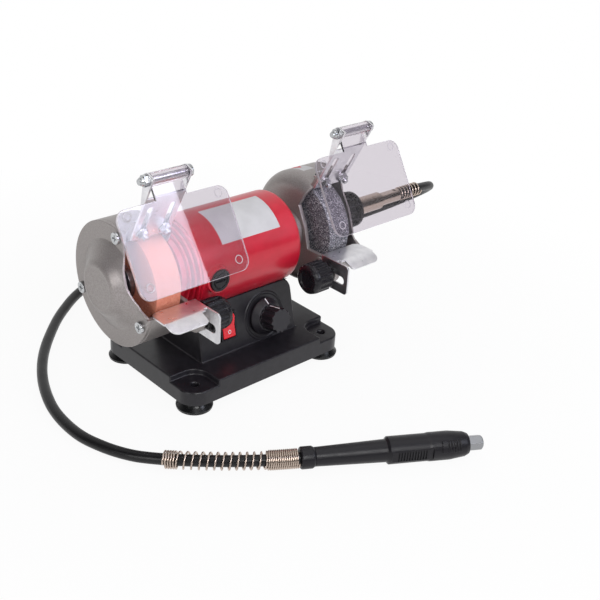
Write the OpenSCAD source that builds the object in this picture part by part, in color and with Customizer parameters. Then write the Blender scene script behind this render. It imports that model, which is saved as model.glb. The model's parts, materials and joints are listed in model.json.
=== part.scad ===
// Mini bench grinder with a flexible shaft and handpiece, in millimetres.
// X runs along the spindle, the front is -Y, and Z = 0 is the bench.
// The wheels, guards, shields and tool rests of the left side mirror the right side.

/* [Base] */
// Length of the base plate along the spindle
base_len = 150; // [142:1:170]
// Depth of the base plate
base_dep = 112; // [104:1:130]
// Height of the base plate's underside above the bench
base_lift = 8; // [6:0.5:10]
// Height of the base plate
base_h = 16; // [13:0.5:18]
// Corner radius of the base plate
base_r = 14; // [8:0.5:18]
// Wall of the base casting
base_wall = 3; // [2.5:0.5:4]
// Distance of each bolt hole from both edges
hole_inset = 12.5; // [11.5:0.5:15]
// Bolt hole diameter
hole_d = 6; // [5:0.5:7]
// Depth of the step round each bolt hole
corner_step = 4.7; // [3:0.1:6]
// Widest radius of a rubber foot
foot_r = 13.6; // [11:0.1:15]

/* [Pedestal] */
// Width of the pedestal at the base plate
ped_w = 93; // [88:1:100]
// Width of the pedestal at its shoulders
ped_top_w = 90; // [82:1:92]
// Height of the shoulders below the spindle
shoulder_drop = 37.7; // [36:0.1:40]
// Radius of the shoulders
ped_r = 10; // [6:0.5:12]
// Depth of the pedestal at the base plate
ped_dep = 62; // [58:1:68]
// Lean of the pedestal's front and back from upright
panel_tilt = 12; // [8:0.5:14]

/* [Motor] */
// Height of the spindle above the bench
shaft_h = 93; // [90:1:100]
// Radius of the motor housing
motor_r = 35.7; // [34:0.1:38]
// Distance of the housing's left end from the middle
motor_left = 50; // [49:0.5:52]
// Distance of the housing's right end from the middle
motor_right = 44.3; // [42:0.1:48]
// Wall of the motor housing
motor_wall = 2.5; // [2:0.1:3.5]
// Rounding of the housing's right edge
motor_edge_r = 5; // [3:0.5:7]
// Distance of the brush holders from the middle
brush_x = 38; // [36:0.5:40]
// Diameter of a brush cap
brush_cap_d = 16; // [14:0.5:18]
// Radius of the armature
armature_r = 20; // [16:0.5:24]
// Length of the armature
armature_len = 46; // [36:1:50]

/* [Spindle] */
// Diameter of the spindle in the bearings and wheels
spindle_d = 10; // [8:0.5:12]
// Outer diameter of a bearing
bearing_d = 26; // [24:1:28]
// Width of a bearing
bearing_w = 8; // [6:0.5:9]
// Radial running clearance of turning fits
run_clear = 0.04; // [0.02:0.01:0.08]

/* [Wheels] */
// Radius of a grinding wheel
wheel_r = 37.5; // [34:0.5:38.5]
// Width of a grinding wheel
wheel_w = 20; // [16:1:22]
// Distance of a wheel's middle from the middle of the grinder
wheel_x = 80.5; // [79.5:0.5:82]
// Radius of a clamping flange
clamp_r = 13; // [11:0.5:14]
// Thickness of a clamping flange
clamp_t = 4; // [3:0.5:4.5]

/* [Guards] */
// Radius of a wheel guard
guard_r = 45; // [43.5:0.5:47]
// Distance of a guard's inner face from the middle
guard_in = 62; // [61:0.5:63]
// Distance of a cover's flat rim from the middle
guard_out = 101.8; // [100:0.2:104]
// Wall of a guard
guard_wall = 3.5; // [3:0.5:4.5]
// Rounding of a guard's inner edge
guard_edge_r = 12; // [8:0.5:15]
// Thickness of a cover
cover_t = 3; // [2:0.5:4]
// Radius of a cover's bulge
bulge_r = 32.5; // [29:0.5:33.5]
// Height of a cover's bulge
bulge_h = 10.2; // [8:0.2:13]
// Radius of the flat boss on a cover
boss_r = 14; // [12.5:0.5:16]
// Distance of the cover screws from a guard's rim
screw_inset = 5.5; // [5:0.1:6]
// Distance of the opening's lower edge below the spindle
opening_drop = 9.3; // [8.8:0.1:10]
// Lean of the shield flange from upright
flange_lean = 27.5; // [26:0.5:29]
// Thickness of the shield flange
flange_t = 3.5; // [3:0.5:4]

/* [Shields] */
// Distance of a shield's middle from the middle of the grinder
shield_x = 83; // [82:0.5:84]
// Width of a shield
shield_w = 86; // [70:1:94]
// Length of a shield's plate
shield_len = 58.5; // [50:0.5:62]
// Thickness of a shield
shield_t = 2; // [1.5:0.1:3]
// Lean of a shield from upright
shield_lean = 31; // [26:1:45]
// Corner radius of a shield
shield_corner_r = 8; // [4:0.5:12]
// Diameter of a shield's hinge tube
hinge_d = 8.5; // [7:0.1:9]
// Width of a bracket
bracket_w = 31; // [29:0.5:34]
// Thickness of the bracket's sheet
bracket_t = 1.5; // [1:0.1:2]
// Height of a hinge above its bracket screws
hinge_up = 46.4; // [45:0.2:50]
// Distance of a hinge behind the flange's face
hinge_back = 3.5; // [3:0.1:4.5]
// Distance between the two bracket screws
bracket_screw_gap = 17.8; // [16:0.2:19]
// Length of the bracket's slots
slot_len = 22; // [14:1:24]

/* [Tool rests] */
// Height of a rest's face below the spindle
rest_drop = 6.7; // [6:0.1:7]
// Gap between a rest and its wheel
rest_gap = 2.5; // [1.5:0.1:4]
// Depth of a rest's flat face
rest_dep = 17.3; // [15:0.1:20]
// Depth of the sloping front flap
flap_dep = 10.5; // [7:0.5:13]
// Slope of the front flap
flap_slope = 22; // [10:1:40]
// Reach of a rest past the guard's inner face
rest_w = 36.5; // [32:0.5:37]
// Thickness of the rest's sheet
rest_t = 1.5; // [1:0.1:1.7]
// Height of the upright side plate
side_h = 23.5; // [21:0.5:26]
// Forward distance of a clamp stud from the spindle
stud_fwd = 46.3; // [45:0.1:48]
// Drop of a clamp stud below the spindle
stud_drop = 20; // [19.5:0.1:21]
// Diameter of a clamp stud
stud_d = 6; // [5:0.5:6.5]
// Diameter of a clamp knob
knob_d = 24; // [20:0.5:25]
// Length of a clamp knob
knob_len = 21; // [16:0.5:23]

/* [Controls] */
// Distance of the switch left of the middle
switch_x = 20; // [18:0.5:24]
// Drop of the switch's middle below the motor
switch_drop = 12.3; // [11.5:0.1:16]
// Width of the switch's frame
switch_w = 15; // [14:0.5:17]
// Height of the switch's frame
switch_h = 21.5; // [19:0.5:23]
// Distance of the speed knob right of the middle
dial_x = 15.7; // [14:0.1:18]
// Distance of the speed knob's middle up the panel
dial_up = 18.7; // [17:0.1:20]
// Radius of the speed knob's skirt
dial_r = 14.4; // [12:0.1:15]
// Radius of the speed knob's grip
grip_r = 9.5; // [8:0.1:10.5]
// Height of the speed knob
dial_h = 18.5; // [14:0.5:20]
// Radius of the raised ring round the speed knob
ring_r = 18.5; // [16:0.5:19]

/* [Flexible shaft] */
// Diameter of the union nut's rim
union_d = 29.5; // [27:0.5:32]
// Length of the union nut
union_len = 15; // [12:0.5:18]
// Diameter of the nickel sleeve
sleeve_d = 14.4; // [13:0.2:16]
// Length of the nickel sleeve
sleeve_len = 32; // [28:1:34]
// Diameter of the ferrule
ferrule_d = 10.8; // [10:0.1:11.5]
// Diameter of the flexible shaft
flex_d = 8; // [6:0.5:8.5]
// Wire of the springs
wire_d = 1.2; // [0.8:0.1:1.3]
// Outer diameter of the coupling's spring
coupling_spring_d = 12; // [11.5:0.1:13]
// Curls of the coupling's spring
coupling_curls = 7; // [4:1:10]
// Outer diameter of the handpiece's spring along its open curls
hand_spring_d = 12.5; // [12:0.1:13.5]
// Outer diameter of the handpiece's spring at the collar
hand_close_d = 13.7; // [13:0.1:15]

/* [Handpiece] */
// Diameter of the grip
hand_d = 19; // [17:0.5:21]
// Length of the grip
hand_grip_len = 59.5; // [57:0.5:64]
// Length of the taper behind the grip
hand_taper_len = 48; // [40:1:54]
// Diameter of the tail collar
collar_d = 15.2; // [14:0.2:17]
// Length of the tail collar
collar_len = 10; // [8:0.5:14]
// Width of the collet nut across its flats
collet_af = 9.6; // [8.6:0.2:11]
// Length of the collet nut
collet_len = 10.6; // [8:0.2:12]
// Diameter of the tool shank that the collet holds
shank_d = 3.2; // [2.4:0.1:3.4]

/* [Hidden] */
$fn = 64;
// Room past a face for a cut that goes right through
over = 1;
// Clearance of parts that are fixed together
seat = 0.05;
// Clearance of sheet parts that slide
slide_clear = 0.1;
base_top = base_lift + base_h;
hole_x = base_len / 2 - hole_inset;
hole_y = base_dep / 2 - hole_inset;
hole_boss_r = hole_inset - base_wall;
shoulder_z = shaft_h - shoulder_drop;
ped_top = shoulder_z + ped_r;
ped_front = ped_dep / 2;
panel_rise = shaft_h - base_top;
switch_up = (shaft_h - motor_r - switch_drop - base_top) / cos(panel_tilt);
gland_d = 12;
gland_up = 12;
gland_out = 5;
gland_wall = 2.5;
gland_lip = 2;
bottom_t = 1.5;
bottom_step = 1;
ring_h = 0.8;
ring_w = 1;
stator_r = motor_r - motor_wall - seat;
stator_len = armature_len + 4;
armature_gap = 0.8;
shoulder_r = spindle_d / 2 + 2;
bearing_out = guard_in - 4;
bearing_in = bearing_out - bearing_w;
bearing_gap = 0.3;
bell_r = bearing_d / 2 + 3;
bell_drop = 9;
bell_seat = 3;
band_drop = 1.5;
band_step = 2.2;
sleeve_r = spindle_d / 2 + 3;
clamp_in = wheel_x - wheel_w / 2 - clamp_t;
clamp_out = wheel_x + wheel_w / 2 + clamp_t;
nut_af = 17;
nut_h = 6.5;
commutator_r = 11;
commutator_len = 16;
brush_gap = 0.3;
brush_w = 6;
boss_ring_d = brush_cap_d + 4;
boss_face = motor_r + 3;
cap_in = 5;
cap_out = 1.5;
cap_slot_w = 1.4;
cap_slot_dep = 1.7;
cap_ring_r = 5.2;
cap_ring_w = 0.9;
cap_ring_dep = 0.8;
bulge_steps = 10;
cup_len = guard_out - cover_t - guard_in;
spindle_hole_r = clamp_r + 1;
screw_circle_r = guard_r - screw_inset;
// The shield flange's face at the bracket screws: distance outside the guard, angle over the top from +Y, and
// place from the spindle
flange_out = 4.653;
flange_at = 115.28;
flange_y = (guard_r + flange_out) * cos(flange_at);
flange_z = (guard_r + flange_out) * sin(flange_at);
flange_low = 8.5;
flange_high = 6.5;
// How far the flange's machined face stands proud of the opening's edge
flange_proud = 0.4;
// Front edges of a guard's opening and of its cover, from the spindle in Y and Z
opening_run = 25;
opening_back = [-18, 6];
opening_foot = -22;
cover_edge = [[-15.5, 33], [-20, 18.5], [-24.5, 7.5], [-29, 0.5], [-35, -6]];
cover_edge_foot = -42;
screw_angles = [104, 206, 335];
screw_boss_r = 4.2;
screw_d = 4;
screw_boss_len = 7;
head_h = 2.4;
cross_w = 1;
bracket_foot = 6.5;
// Height of the bracket's front plate and length of the ears that fold back from its sides
plate_up = 33.5;
ear_low = 22;
ear_rise = 5.5;
ear_r = 4.6;
pivot_d = 4;
pivot_head_r = 4;
pivot_head_h = 2.6;
small_nut_af = 7;
small_nut_h = 3.2;
// Locking collar of a pivot's nut, and the pin's end beyond it
lock_h = 1.8;
lock_r = 3.1;
lock_end_r = 2.6;
pin_out = 1.2;
washer_r = 4.5;
washer_t = 1;
thread_out = 2.2;
hinge_len = bracket_w - 2 * bracket_t - 1;
neck_w = 24;
neck_len = 13.5;
stud_y = -stud_fwd;
stud_z = shaft_h - stud_drop;
rest_top = shaft_h - rest_drop;
rest_back = -(wheel_r + rest_gap);
rest_bend = rest_back - rest_dep;
side_face = guard_in - slide_clear - rest_t;
side_nose = 11.5;
side_front = rest_bend - side_nose;
rest_slot_back = stud_y + 9;
rest_slot_front = side_front + 4;
flap_inset = 6;
flap_far_inset = 1;
rest_corner_r = 6;
flap_corner_r = 3;
relief_w = 2.5;
knob_face = side_face - slide_clear;
lug_r = 8;
lug_root_low = [-28, -32];
lug_root_high = [-34, -12];
lug_t = 5;
rocker_r = switch_h / 2 - 1.5;
rocker_w = switch_w - 4;
rocker_clear = 0.4;
rocker_tilt = 10;
frame_t = 2;
switch_dep = 7;
rocker_out = frame_t + 0.6;
rocker_lift = 1;
rocker_dish = 2.4;
rocker_in = 3;
dial_shaft_d = 6;
dial_gap = 0.6;
bush_d = dial_shaft_d + 3;
bush_out = 1;
control_r = 7;
control_dep = 8;
knob_bore_end = 5;
knob_hub = 3.5;
knob_dome = 5;
knob_recess = 1.5;
knob_flutes = 14;
knob_flute_r = 2;
skirt_h = 5.5;
dial_flutes = 12;
dial_flute_r = 2.2;
dial_cap = 5;
boss_out = guard_out + bulge_h;
spigot_r = 9.5;
spigot_bore_r = 6.2;
drive_r = spigot_bore_r - 1;
union_in = boss_out + 4;
union_out = union_in + union_len;
union_wall = 3;
union_rim = 3.5;
union_hub_r = 11;
union_rise = 1.2;
union_fins = 14;
union_fin_t = 1.4;
sleeve_out = union_out + sleeve_len;
ferrule_len = 24;
ferrule_out = sleeve_out + ferrule_len;
nose_rise = 0.4;
hand_pos = [-53, -145, hand_d / 2 + nose_rise];
hand_turn = -30;
hand_dir = [cos(hand_turn), sin(hand_turn), 0];
hand_body_at = collar_len;
grip_at = hand_body_at + hand_taper_len;
hand_end = grip_at + hand_grip_len;
hand_bore_d = 7;
nose_at = 29.6;
pad_at = 38.5;
pad_turn = 150;
pad_len = 13.5;
pad_w = 8;
pad_rise = 0.8;
pad_grooves = 5;
panel_at = 3.6;
nose_taper = 14;
panel_len = 29;
panel_dep = 0.8;
panel_grooves = 11;
groove_at = 7.6;
groove_pitch = 1.93;
groove_len = 7.2;
collet_in = 12;
collet_gap = 0.5;
collet_edge = 1.6;
shank_dep = 12;
spring_tail = [-121, -88, 6.7];
spring_run = 42;
spring_bend = hand_pos - spring_run * hand_dir;
coupling_spring_len = 26;
rings_per_curl = 8;
// Each stretch of the handpiece's spring as curls and their share of its length
hand_stretches = [[4, 0.09], [12, 0.655], [11, 0.255]];
// Route of the flexible shaft, from the ferrule round to the handpiece's spring
route = [
  [ferrule_out, 0, shaft_h], [200, 0, shaft_h], [215, 0, shaft_h], [243, 9, 86], [255, 32, 69], [243, 55, 52],
  [215, 64, 45], [190, 76, 36], [170, 92, 24], [145, 120, 8], [110, 145, 4], [60, 163, 4], [10, 166, 4],
  [-35, 152, 4], [-69, 128, 4], [-95, 102, 4], [-116, 76, 4], [-132, 49, 4], [-143, 21, 4], [-148, -3, 4],
  [-148, -29, 4], [-142, -51, 4], [-133, -71, 5]
];

// Helpers that place and shape

module rounded_rect(size, r) {
  square([size.x - 2 * r, size.y], center = true);
  square([size.x, size.y - 2 * r], center = true);
  for (sx = [-1, 1], sy = [-1, 1]) translate([sx * (size.x / 2 - r), sy * (size.y / 2 - r)]) circle(r);
}

// Turned shapes about the spindle, from a distance x0 to the right of the middle
module on_spindle(x0) { translate([x0, 0, shaft_h]) rotate([0, 90, 0]) children(); }

module spindle_cylinder(x0, x1, r) { on_spindle(x0) cylinder(h = x1 - x0, r = r); }

module spindle_ring(x0, x1, r, bore) {
  difference() {
    spindle_cylinder(x0, x1, r);
    spindle_cylinder(x0 - over, x1 + over, bore);
  }
}

// Side profiles in Y and Z, drawn about the spindle, from x0 to x1
module side_extrude(x0, x1) {
  translate([x0, 0, shaft_h]) rotate([90, 0, 90]) linear_extrude(x1 - x0) children();
}

// Front profiles in X and Z, from y0 back to y1
module front_extrude(y0, y1) { translate([0, y1, 0]) rotate([90, 0, 0]) linear_extrude(y1 - y0) children(); }

module left_side() { mirror([1, 0, 0]) children(); }

module hex_prism(af, h) { cylinder(h = h, d = af / cos(30), $fn = 6); }

// Cutters for a ring of hollow flutes
module flutes(r, h, count, flute_r) {
  for (i = [0 : count - 1]) rotate(i * 360 / count) translate([r + 0.45 * flute_r, 0, 0])
    cylinder(h = h, r = flute_r);
}

// What is cut off a square corner to round it, about the rounding's centre
module corner_cut(r) {
  difference() {
    square(r + over);
    circle(r);
  }
}

// Curves and swept tubes

function unit(v) = v / norm(v);

function bend_point(a, b, c, u) = (1 - u) * (1 - u) * a + 2 * u * (1 - u) * b + u * u * c;

function spline_point(p, i, t) =
  let (a = p[max(i - 1, 0)], b = p[i], c = p[i + 1], d = p[min(i + 2, len(p) - 1)])
  0.5 * (2 * b + (c - a) * t + (2 * a - 5 * b + 4 * c - d) * t * t + (3 * b - a - 3 * c + d) * t * t * t);

function spline(p, n) = [
  for (i = [0 : len(p) - 2], k = [0 : n - 1]) spline_point(p, i, k / n),
  p[len(p) - 1]
];

function tangents(p) = [
  for (i = [0 : len(p) - 1]) unit(p[min(i + 1, len(p) - 1)] - p[max(i - 1, 0)])
];

function tube_points(p, normals, r, sides) =
  let (t = tangents(p))
  [for (i = [0 : len(p) - 1], k = [0 : sides - 1])
    let (s = unit(normals[i] - (normals[i] * t[i]) * t[i]), u = cross(t[i], s), a = 360 * k / sides)
    p[i] + r * (cos(a) * s + sin(a) * u)];

function tube_faces(n, sides) = concat(
  [for (k = [1 : sides - 2]) [0, k, k + 1]],
  [for (k = [1 : sides - 2]) [(n - 1) * sides, (n - 1) * sides + k + 1, (n - 1) * sides + k]],
  [for (i = [0 : n - 2], k = [0 : sides - 1])
    let (m = (k + 1) % sides) [i * sides + k, (i + 1) * sides + k, i * sides + m]],
  [for (i = [0 : n - 2], k = [0 : sides - 1])
    let (m = (k + 1) % sides) [(i + 1) * sides + k, (i + 1) * sides + m, i * sides + m]]
);

module tube(p, normals, r, sides) {
  polyhedron(points = tube_points(p, normals, r, sides), faces = tube_faces(len(p), sides));
}

// Share of a spring's length that its curls have reached after a number of curls
function reached(stretches, curls, i = 0) =
  i >= len(stretches) ? 0 :
  curls <= stretches[i][0] ? stretches[i][1] * curls / stretches[i][0] :
  stretches[i][1] + reached(stretches, curls - stretches[i][0], i + 1);

function total_curls(stretches, i = 0) =
  i >= len(stretches) ? 0 : stretches[i][0] + total_curls(stretches, i + 1);

// Directions from a spring's axis to its wire, along the bend a, b, c
function spring_out(a, b, c, stretches) = [
  for (j = [0 : rings_per_curl * total_curls(stretches)])
    let (
      u = reached(stretches, j / rings_per_curl),
      t = unit(bend_point(a, b, c, min(u + 0.01, 1)) - bend_point(a, b, c, max(u - 0.01, 0))),
      s = unit(cross(t, [0, 0, 1])),
      angle = 360 * j / rings_per_curl
    )
    cos(angle) * s + sin(angle) * cross(s, t)
];

// The wire's middle line, where the widths give the outer diameter after a number of curls
function spring_line(a, b, c, stretches, widths) =
  let (out = spring_out(a, b, c, stretches))
  [for (j = [0 : len(out) - 1])
    let (curls = j / rings_per_curl)
    bend_point(a, b, c, reached(stretches, curls)) + (lookup(curls, widths) - wire_d) / 2 * out[j]];

// Adds a straight bit of one wire diameter at both ends
function with_ends(p) =
  let (n = len(p) - 1)
  concat([p[0] + wire_d * unit(p[0] - p[1])], p, [p[n] + wire_d * unit(p[n] - p[n - 1])]);

// Least distance between the wire's own turns, measured on its points
function least_gap(p) = min([
  for (i = [0 : len(p) - 6], j = [i + 5 : min(i + 3 * rings_per_curl, len(p) - 1)]) norm(p[i] - p[j])
]) - wire_d;

module spring(name, a, b, c, stretches, widths) {
  line = spring_line(a, b, c, stretches, widths);
  out = spring_out(a, b, c, stretches);
  echo(name, least_gap = least_gap(line));
  tube(with_ends(line), concat([out[0]], out, [out[len(out) - 1]]), wire_d / 2, 6);
}

// Base

module pedestal_profile(inset) {
  w = ped_w / 2 - inset;
  top_w = ped_top_w / 2 - inset;
  r = ped_r;
  polygon([
    [-w, base_top - base_wall], [w, base_top - base_wall], [top_w, shoulder_z - inset],
    [top_w - r, ped_top - inset], [r - top_w, ped_top - inset], [-top_w, shoulder_z - inset]
  ]);
  for (s = [-1, 1]) translate([s * (top_w - r), shoulder_z - inset]) circle(r);
}

// Side outline of the pedestal in Y and Z, with both faces leaning in
module pedestal_side(inset) {
  half = ped_front - inset / cos(panel_tilt);
  low = base_wall * tan(panel_tilt);
  high = panel_rise * tan(panel_tilt);
  polygon([
    [-half - low, base_top - base_wall], [half + low, base_top - base_wall], [half - high, shaft_h],
    [high - half, shaft_h]
  ]);
}

module pedestal(inset) {
  intersection() {
    front_extrude(-ped_dep, ped_dep) pedestal_profile(inset);
    translate([-ped_w, 0, 0]) rotate([90, 0, 90]) linear_extrude(2 * ped_w) pedestal_side(inset);
  }
}

// Frame on the leaning front panel: X across, Y into the panel and Z up along it
module panel_frame(x, up) {
  translate([x, -ped_front, base_top]) rotate([-panel_tilt, 0, 0]) translate([0, 0, up]) children();
}

module gland_frame() { mirror([0, 1, 0]) panel_frame(0, gland_up) children(); }

module bolt_places() { for (sx = [-1, 1], sy = [-1, 1]) translate([sx * hole_x, sy * hole_y, 0]) children(); }

module base_casting() color("#1d1b1f") {
  step_w = 4 * hole_inset;
  inner = [base_len - 2 * base_wall, base_dep - 2 * base_wall];
  difference() {
    union() {
      translate([0, 0, base_lift]) linear_extrude(base_h) rounded_rect([base_len, base_dep], base_r);
      pedestal(0);
      panel_frame(dial_x, dial_up) front_extrude(-ring_h, over) difference() {
        circle(ring_r);
        circle(ring_r - ring_w);
      }
    }
    // Corner steps, hollow underside and hollow pedestal
    for (sx = [-1, 1], sy = [-1, 1]) translate([sx * base_len / 2, sy * base_dep / 2, base_top - corner_step])
      linear_extrude(base_h) rounded_rect([step_w, step_w], hole_inset);
    difference() {
      translate([0, 0, base_lift - over])
        linear_extrude(base_h - corner_step - base_wall + over) rounded_rect(inner, base_r - base_wall);
      bolt_places() cylinder(h = base_top, r = hole_boss_r);
    }
    difference() {
      pedestal(base_wall);
      spindle_cylinder(-base_len, base_len, motor_r + base_wall);
    }
    translate([0, 0, base_lift]) linear_extrude(base_h + over)
      square([ped_w - 4 * base_wall, ped_dep - 3 * base_wall], center = true);
    spindle_cylinder(-base_len, base_len, motor_r + seat);
    bolt_places() cylinder(h = base_top + over, d = hole_d);
    // Openings for the switch, the speed control and the cord gland
    panel_frame(-switch_x, switch_up) front_extrude(-over, base_wall + over)
      square([switch_w - frame_t, switch_h - frame_t], center = true);
    panel_frame(dial_x, dial_up) front_extrude(-over, base_wall + over) circle(d = bush_d);
    gland_frame() front_extrude(-over, base_wall + over) circle(d = gland_d);
  }
}

module bottom_cover() color("#2a2a2c") {
  edge = base_wall + seat;
  difference() {
    translate([0, 0, base_lift + bottom_step]) linear_extrude(bottom_t)
      rounded_rect([base_len - 2 * edge, base_dep - 2 * edge], base_r - base_wall);
    bolt_places() translate([0, 0, base_lift]) cylinder(h = base_h, r = hole_boss_r + seat);
  }
}

module rubber_feet() color("#151517") {
  bolt_places() rotate_extrude() difference() {
    polygon([
      [0, 0], [0.85 * foot_r, 0], [0.97 * foot_r, 0.14 * base_lift], [foot_r, 0.38 * base_lift],
      [0.82 * foot_r, 0.65 * base_lift], [0.66 * foot_r, base_lift], [0, base_lift]
    ]);
    translate([-1, -over]) square([hole_d / 2 + 1, base_lift + 2 * over]);
  }
}

// Motor

module brush_places() {
  for (turn = [0, 180]) translate([-brush_x, 0, shaft_h]) rotate([90, 0, turn]) children();
}

module motor_housing() color("#c01f30") {
  difference() {
    union() {
      on_spindle(-motor_left) rotate_extrude() {
        square([motor_r, motor_left + motor_right - motor_edge_r]);
        square([motor_r - motor_edge_r, motor_left + motor_right]);
        translate([motor_r - motor_edge_r, motor_left + motor_right - motor_edge_r]) circle(motor_edge_r);
      }
      brush_places() cylinder(h = boss_face, d = boss_ring_d);
    }
    spindle_cylinder(-motor_left - over, motor_right - motor_wall, motor_r - motor_wall);
    spindle_cylinder(0, motor_right + over, bearing_d / 2 + 1);
    brush_places() cylinder(h = boss_face + over, d = brush_cap_d + 2 * seat);
  }
}

module bell_pocket() {
  spindle_cylinder(bearing_in - over, bearing_out, bearing_d / 2 + seat);
  spindle_cylinder(bearing_in - over, guard_in + over, sleeve_r + 1);
}

module left_end_bell() color("#a81a2a") {
  band = (guard_in - motor_left) / 4;
  left_side() difference() {
    union() {
      spindle_cylinder(motor_left, guard_in, motor_r - bell_drop);
      for (i = [0 : 2]) let (x = motor_left + i * band)
        spindle_cylinder(x, x + 0.6 * band, motor_r - band_drop - band_step * i);
      spindle_cylinder(motor_left - bell_seat, motor_left, motor_r - motor_wall - seat);
    }
    bell_pocket();
    spindle_cylinder(0, bearing_in, bearing_d / 2 + seat);
  }
}

module right_end_bell() color("#8f8b88") {
  difference() {
    union() {
      spindle_cylinder(motor_right, guard_in, bell_r);
      spindle_cylinder(motor_right - motor_wall, motor_right, bearing_d / 2 + 1 - seat);
    }
    bell_pocket();
    spindle_cylinder(0, bearing_in, shoulder_r + 1);
  }
}

module bearing() color("#b9bcc0") {
  spindle_ring(bearing_in, bearing_out, bearing_d / 2, spindle_d / 2 + run_clear);
}

module left_bearing() left_side() bearing();

module right_bearing() bearing();

module stator_core() color("#6d6f73") {
  spindle_ring(-stator_len / 2, stator_len / 2, stator_r, armature_r + armature_gap);
}

module brush_caps() color("#1b1b1d") {
  face = boss_face + cap_out;
  brush_places() difference() {
    translate([0, 0, boss_face - cap_in]) cylinder(h = cap_in + cap_out, d = brush_cap_d);
    // Screwdriver slot inside a ring groove
    translate([-cap_ring_r + cap_ring_w, -cap_slot_w / 2, face - cap_slot_dep])
      cube([2 * (cap_ring_r - cap_ring_w), cap_slot_w, cap_slot_dep + over]);
    translate([0, 0, face - cap_ring_dep]) difference() {
      cylinder(h = cap_ring_dep + over, r = cap_ring_r + cap_ring_w);
      translate([0, 0, -over]) cylinder(h = cap_ring_dep + 3 * over, r = cap_ring_r);
    }
  }
}

module carbon_brushes() color("#3a3a3c") {
  reach = commutator_r + brush_gap;
  brush_places() translate([-brush_w / 2, -brush_w / 2, reach])
    cube([brush_w, brush_w, boss_face - cap_in - reach]);
}

// Spindle and wheels

module spindle() color("#b3b6ba") {
  spindle_cylinder(-clamp_out - nut_h - 2, clamp_out + nut_h, spindle_d / 2);
  spindle_cylinder(-bearing_in + bearing_gap, bearing_in - bearing_gap, shoulder_r);
}

module armature() color("#57595c") {
  difference() {
    spindle_cylinder(-armature_len / 2, armature_len / 2, armature_r);
    spindle_cylinder(-armature_len, armature_len, shoulder_r);
    for (i = [0 : 11]) on_spindle(-armature_len) rotate(i * 30) translate([armature_r, 0, 0])
      cylinder(h = 2 * armature_len, r = 1.6);
  }
}

module commutator() color("#b87333") {
  spindle_ring(-brush_x - commutator_len / 2, -brush_x + commutator_len / 2, commutator_r, shoulder_r);
}

module wheel() spindle_ring(wheel_x - wheel_w / 2, wheel_x + wheel_w / 2, wheel_r, spindle_d / 2);

module left_wheel() color("#b5603f") left_side() wheel();

module right_wheel() color("#5b5b5e") wheel();

module clamp_pair() {
  spindle_ring(clamp_in, clamp_in + clamp_t, clamp_r, spindle_d / 2);
  spindle_ring(clamp_out - clamp_t, clamp_out, clamp_r, spindle_d / 2);
}

module wheel_clamps() color("#9a9da1") {
  clamp_pair();
  left_side() clamp_pair();
}

module spacer() spindle_ring(bearing_out + bearing_gap, clamp_in, sleeve_r, spindle_d / 2);

module spacer_sleeves() color("#a9acb0") {
  spacer();
  left_side() spacer();
}

module left_nut() color("#a4a7ab") {
  left_side() difference() {
    on_spindle(clamp_out) hex_prism(nut_af, nut_h);
    spindle_cylinder(0, 2 * clamp_out, spindle_d / 2);
  }
}

module drive_nut() color("#a4a7ab") {
  difference() {
    union() {
      on_spindle(clamp_out) hex_prism(nut_af, nut_h + 1);
      spindle_cylinder(clamp_out, boss_out + 2, drive_r);
    }
    spindle_cylinder(0, clamp_out + nut_h, spindle_d / 2);
    on_spindle(boss_out - 4) translate([-1.5, -drive_r - 1, 0]) cube([3, 2 * drive_r + 2, 8]);
  }
}

// Guards

module guard_half(wall) {
  r = guard_edge_r - wall;
  out = guard_r - wall;
  translate([0, wall]) square([out - r, cup_len]);
  translate([0, wall + r]) square([out, cup_len - r]);
  translate([out - r, wall + r]) circle(r);
}

// Front opening of a guard, with its upper edge along the shield flange's face
module opening_profile() {
  up = [-sin(flange_lean), cos(flange_lean)];
  face = [flange_y, flange_z] + flange_proud * [cos(flange_lean), sin(flange_lean)];
  polygon([
    face + guard_r * up, face - opening_run * up, opening_back, [opening_foot, -opening_drop],
    [-2 * guard_r, -opening_drop], [-2 * guard_r, 2 * guard_r]
  ]);
}

// Front edge of a cover
module cover_opening_profile() {
  polygon([
    [cover_edge[0].x, 2 * guard_r], each cover_edge, [cover_edge_foot, -opening_drop],
    [-2 * guard_r, -opening_drop], [-2 * guard_r, 2 * guard_r]
  ]);
}

module flange_frame(x = shield_x) {
  translate([x, flange_y, shaft_h + flange_z]) rotate([flange_lean, 0, 0]) children();
}

module bracket_screw_places() {
  for (s = [-1, 1]) flange_frame() translate([s * bracket_screw_gap / 2, 0, 0]) rotate([-90, 0, 0]) children();
}

module cover_screw_places() {
  for (a = screw_angles) translate([0, screw_circle_r * cos(a), shaft_h + screw_circle_r * sin(a)])
    rotate([0, 90, 0]) children();
}

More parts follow.
